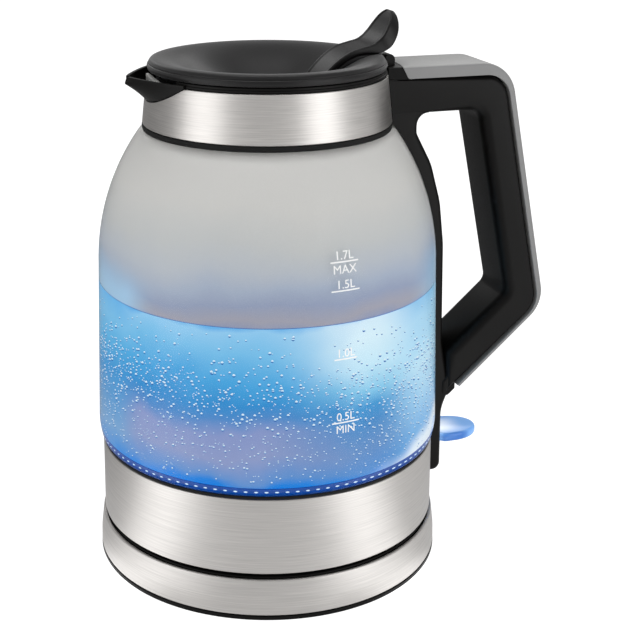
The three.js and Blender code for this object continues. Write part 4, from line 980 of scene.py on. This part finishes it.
# ---- lid ----
def build_lid():
    flat_r, crest_r, crest_z, floor_z = 10, 48.85, 230.4, 213.6
    bowl = [(0, floor_z)]
    steps = 40
    for k in range(steps + 1):
        t = k / steps
        rise = smoothstep(0, 1, t) ** 0.9
        bowl.append((flat_r + (crest_r - flat_r) * t, floor_z + (crest_z - floor_z) * rise))
    rim = fillet([(48.0, 228.0, 0), (48.85, 230.4, 0), (50.7, 230.1, 1.4), (51.7, 228.7, 0.3), (51.3, 228.35, 0.2),
                  (52.1, 228.1, 0.5), (52.35, 227.0, 0.8), (51.8, 225.6, 0.4), (45.6, 225.6, 0.3)], 4)[2:]
    under = [(r, z - 2.0) for r, z in bowl if z < 226.8][::-1]
    obj = lathe("lid_dish", bowl + rim + under, 224, smooth_angle=40)
    piece(obj, "lid", LID, ["lid_shell"])
    hump = fillet([(22, 213.2, 0), (49.6, 222, 0), (50.6, 226.6, 1.0), (50.2, 230.4, 2.0), (46.5, 231.0, 4),
                   (38.5, 230.7, 5), (33.2, 228.6, 5), (27, 223.6, 6), (21, 215.0, 0)], 6)
    piece(slab("lid_bridge", hump, round_rows(10.2, 1.4, 5)), "lid", LID, ["lid_shell"])
    knuckle = fillet([(49.0, 224.9, 0), (56.4, 224.9, 2.4), (56.4, 229.9, 2.4), (49.0, 229.9, 0)], 6)
    piece(slab("lid_knuckle", knuckle, round_rows(4.8, 0.3, 2)), "lid", LID, ["lid_shell"])
    plug = fillet([(0, 208.6, 0), (46.8, 208.6, 1.2), (46.8, 218.2, 0.3), (46.0, 218.2, 0), (46.0, 222.6, 0),
                   (46.8, 222.6, 0.2), (46.8, 224.8, 0.3), (44.6, 224.8, 0), (44.6, 210.4, 0), (0, 210.4, 0)], 4)
    piece(lathe("lid_plug", plug), "lid", BLACK, ["lid_inner"])
    gasket = fillet([(46.4, 218.6, 0), (47.2, 218.6, 0.2), (48.9, 220.2, 0.3), (48.9, 220.8, 0.3), (47.2, 222.2, 0.2),
                     (46.4, 222.2, 0)], 4)
    piece(lathe("lid_seal", gasket), "lid", RUBBER, ["lid_gasket"])
    build_lever()


def spline(points, count):
    """count + 1 points along a Catmull-Rom curve through points."""
    out = []
    last = len(points) - 1
    for k in range(count + 1):
        u = last * k / count
        i = min(int(u), last - 1)
        t = u - i
        p0, p1, p2, p3 = (Vector(points[max(0, min(last, j))]) for j in (i - 1, i, i + 1, i + 2))
        out.append(0.5 * (2 * p1 + (p2 - p0) * t + (2 * p0 - 5 * p1 + 4 * p2 - p3) * t * t
                          + (3 * p1 - p0 - 3 * p2 + p3) * t ** 3))
    return out


def build_lever():
    """The thumb lever: an arched tongue with a round top and a shallow dish in its upper face."""
    upper = [(19.4, 217.4), (21.4, 220.7), (25.6, 225.4), (30.2, 229.3), (35.3, 232.2), (40.6, 233.7), (45.4, 235.0),
             (49.4, 238.2), (52.2, 242.2), (54.1, 245.6), (55.4, 247.7), (56.0, 248.4)]
    lower = [(20.4, 216.6), (22.9, 219.4), (27.3, 223.6), (32.0, 227.2), (37.0, 229.9), (42.2, 230.9), (48.2, 230.9),
             (53.3, 233.3), (56.6, 238.0), (58.1, 242.6), (58.2, 246.2), (57.3, 248.0)]
    count, steps, round_from_z = 56, 24, 237.6
    up, low = spline(upper, count), spline(lower, count)
    rings = []
    for u, d in zip(up, low):
        middle, half = (u + d) / 2, (u - d) / 2
        z = u.y
        width = 11.0 if z < round_from_z else math.sqrt(max(1.0, 11.15 ** 2 - (z - round_from_z) ** 2))
        width *= 0.93 + 0.07 * smoothstep(218, 233, z)
        depth = half.length
        soft = min(0.7, depth * 0.6)
        section = []
        for k in range(steps + 1):
            across = (width - soft) * (2 * k / steps - 1)
            section.append((across, depth - 0.38 * smoothstep(width - 1.1, width - 2.2, abs(across))))
        for sign in (1, -1):
            for k in range(1, 5):
                a = math.pi / 2 * (k / 4 if sign > 0 else 1 - (k - 1) / 4)
                section.append((width - soft + soft * math.sin(a), sign * (depth - soft + soft * math.cos(a))))
        mirrored = [(-across, through) for across, through in section[steps + 1:]]
        section += [((width - soft) * (1 - 2 * k / 6), -depth) for k in range(7)]
        section += mirrored[::-1]
        side = half.normalized()
        rings.append([(middle.x + side.x * t, across, middle.y + side.y * t) for across, t in section])
    piece(loft("thumb_lever", rings, 40), "lid", LEVER, ["lid_lever"])


# ---- switch ----
def build_switch():
    half, root, tip, bend = 11.0, 79.0, 106.5, 92.0
    plan = [(root, -9), (84.0, -9), (85.2, -9.6), (86.4, -10.6), (88.0, -half)]
    for k in range(33):
        a = -math.pi / 2 + math.pi * k / 32
        plan.append((bend + (tip - bend) * math.cos(a), half * math.sin(a)))
    plan += [(88.0, half), (86.4, 10.6), (85.2, 9.6), (84.0, 9), (root, 9)]
    middle_z = 42.2
    rows = [(z + middle_z, inset) for z, inset in round_rows(2.2, 1.5, 5)]
    piece(slab("switch_paddle", plan, rows, axis="Z"), "switch", PADDLE, ["switch_lever"])


add_camera()
add_studio()
dress_cad()
build_base()
build_lower_jug()
build_glass()
build_waterline()
build_bubbles()
build_marks()
build_neck()
build_handle()
build_lid()
build_switch()
add_floor()
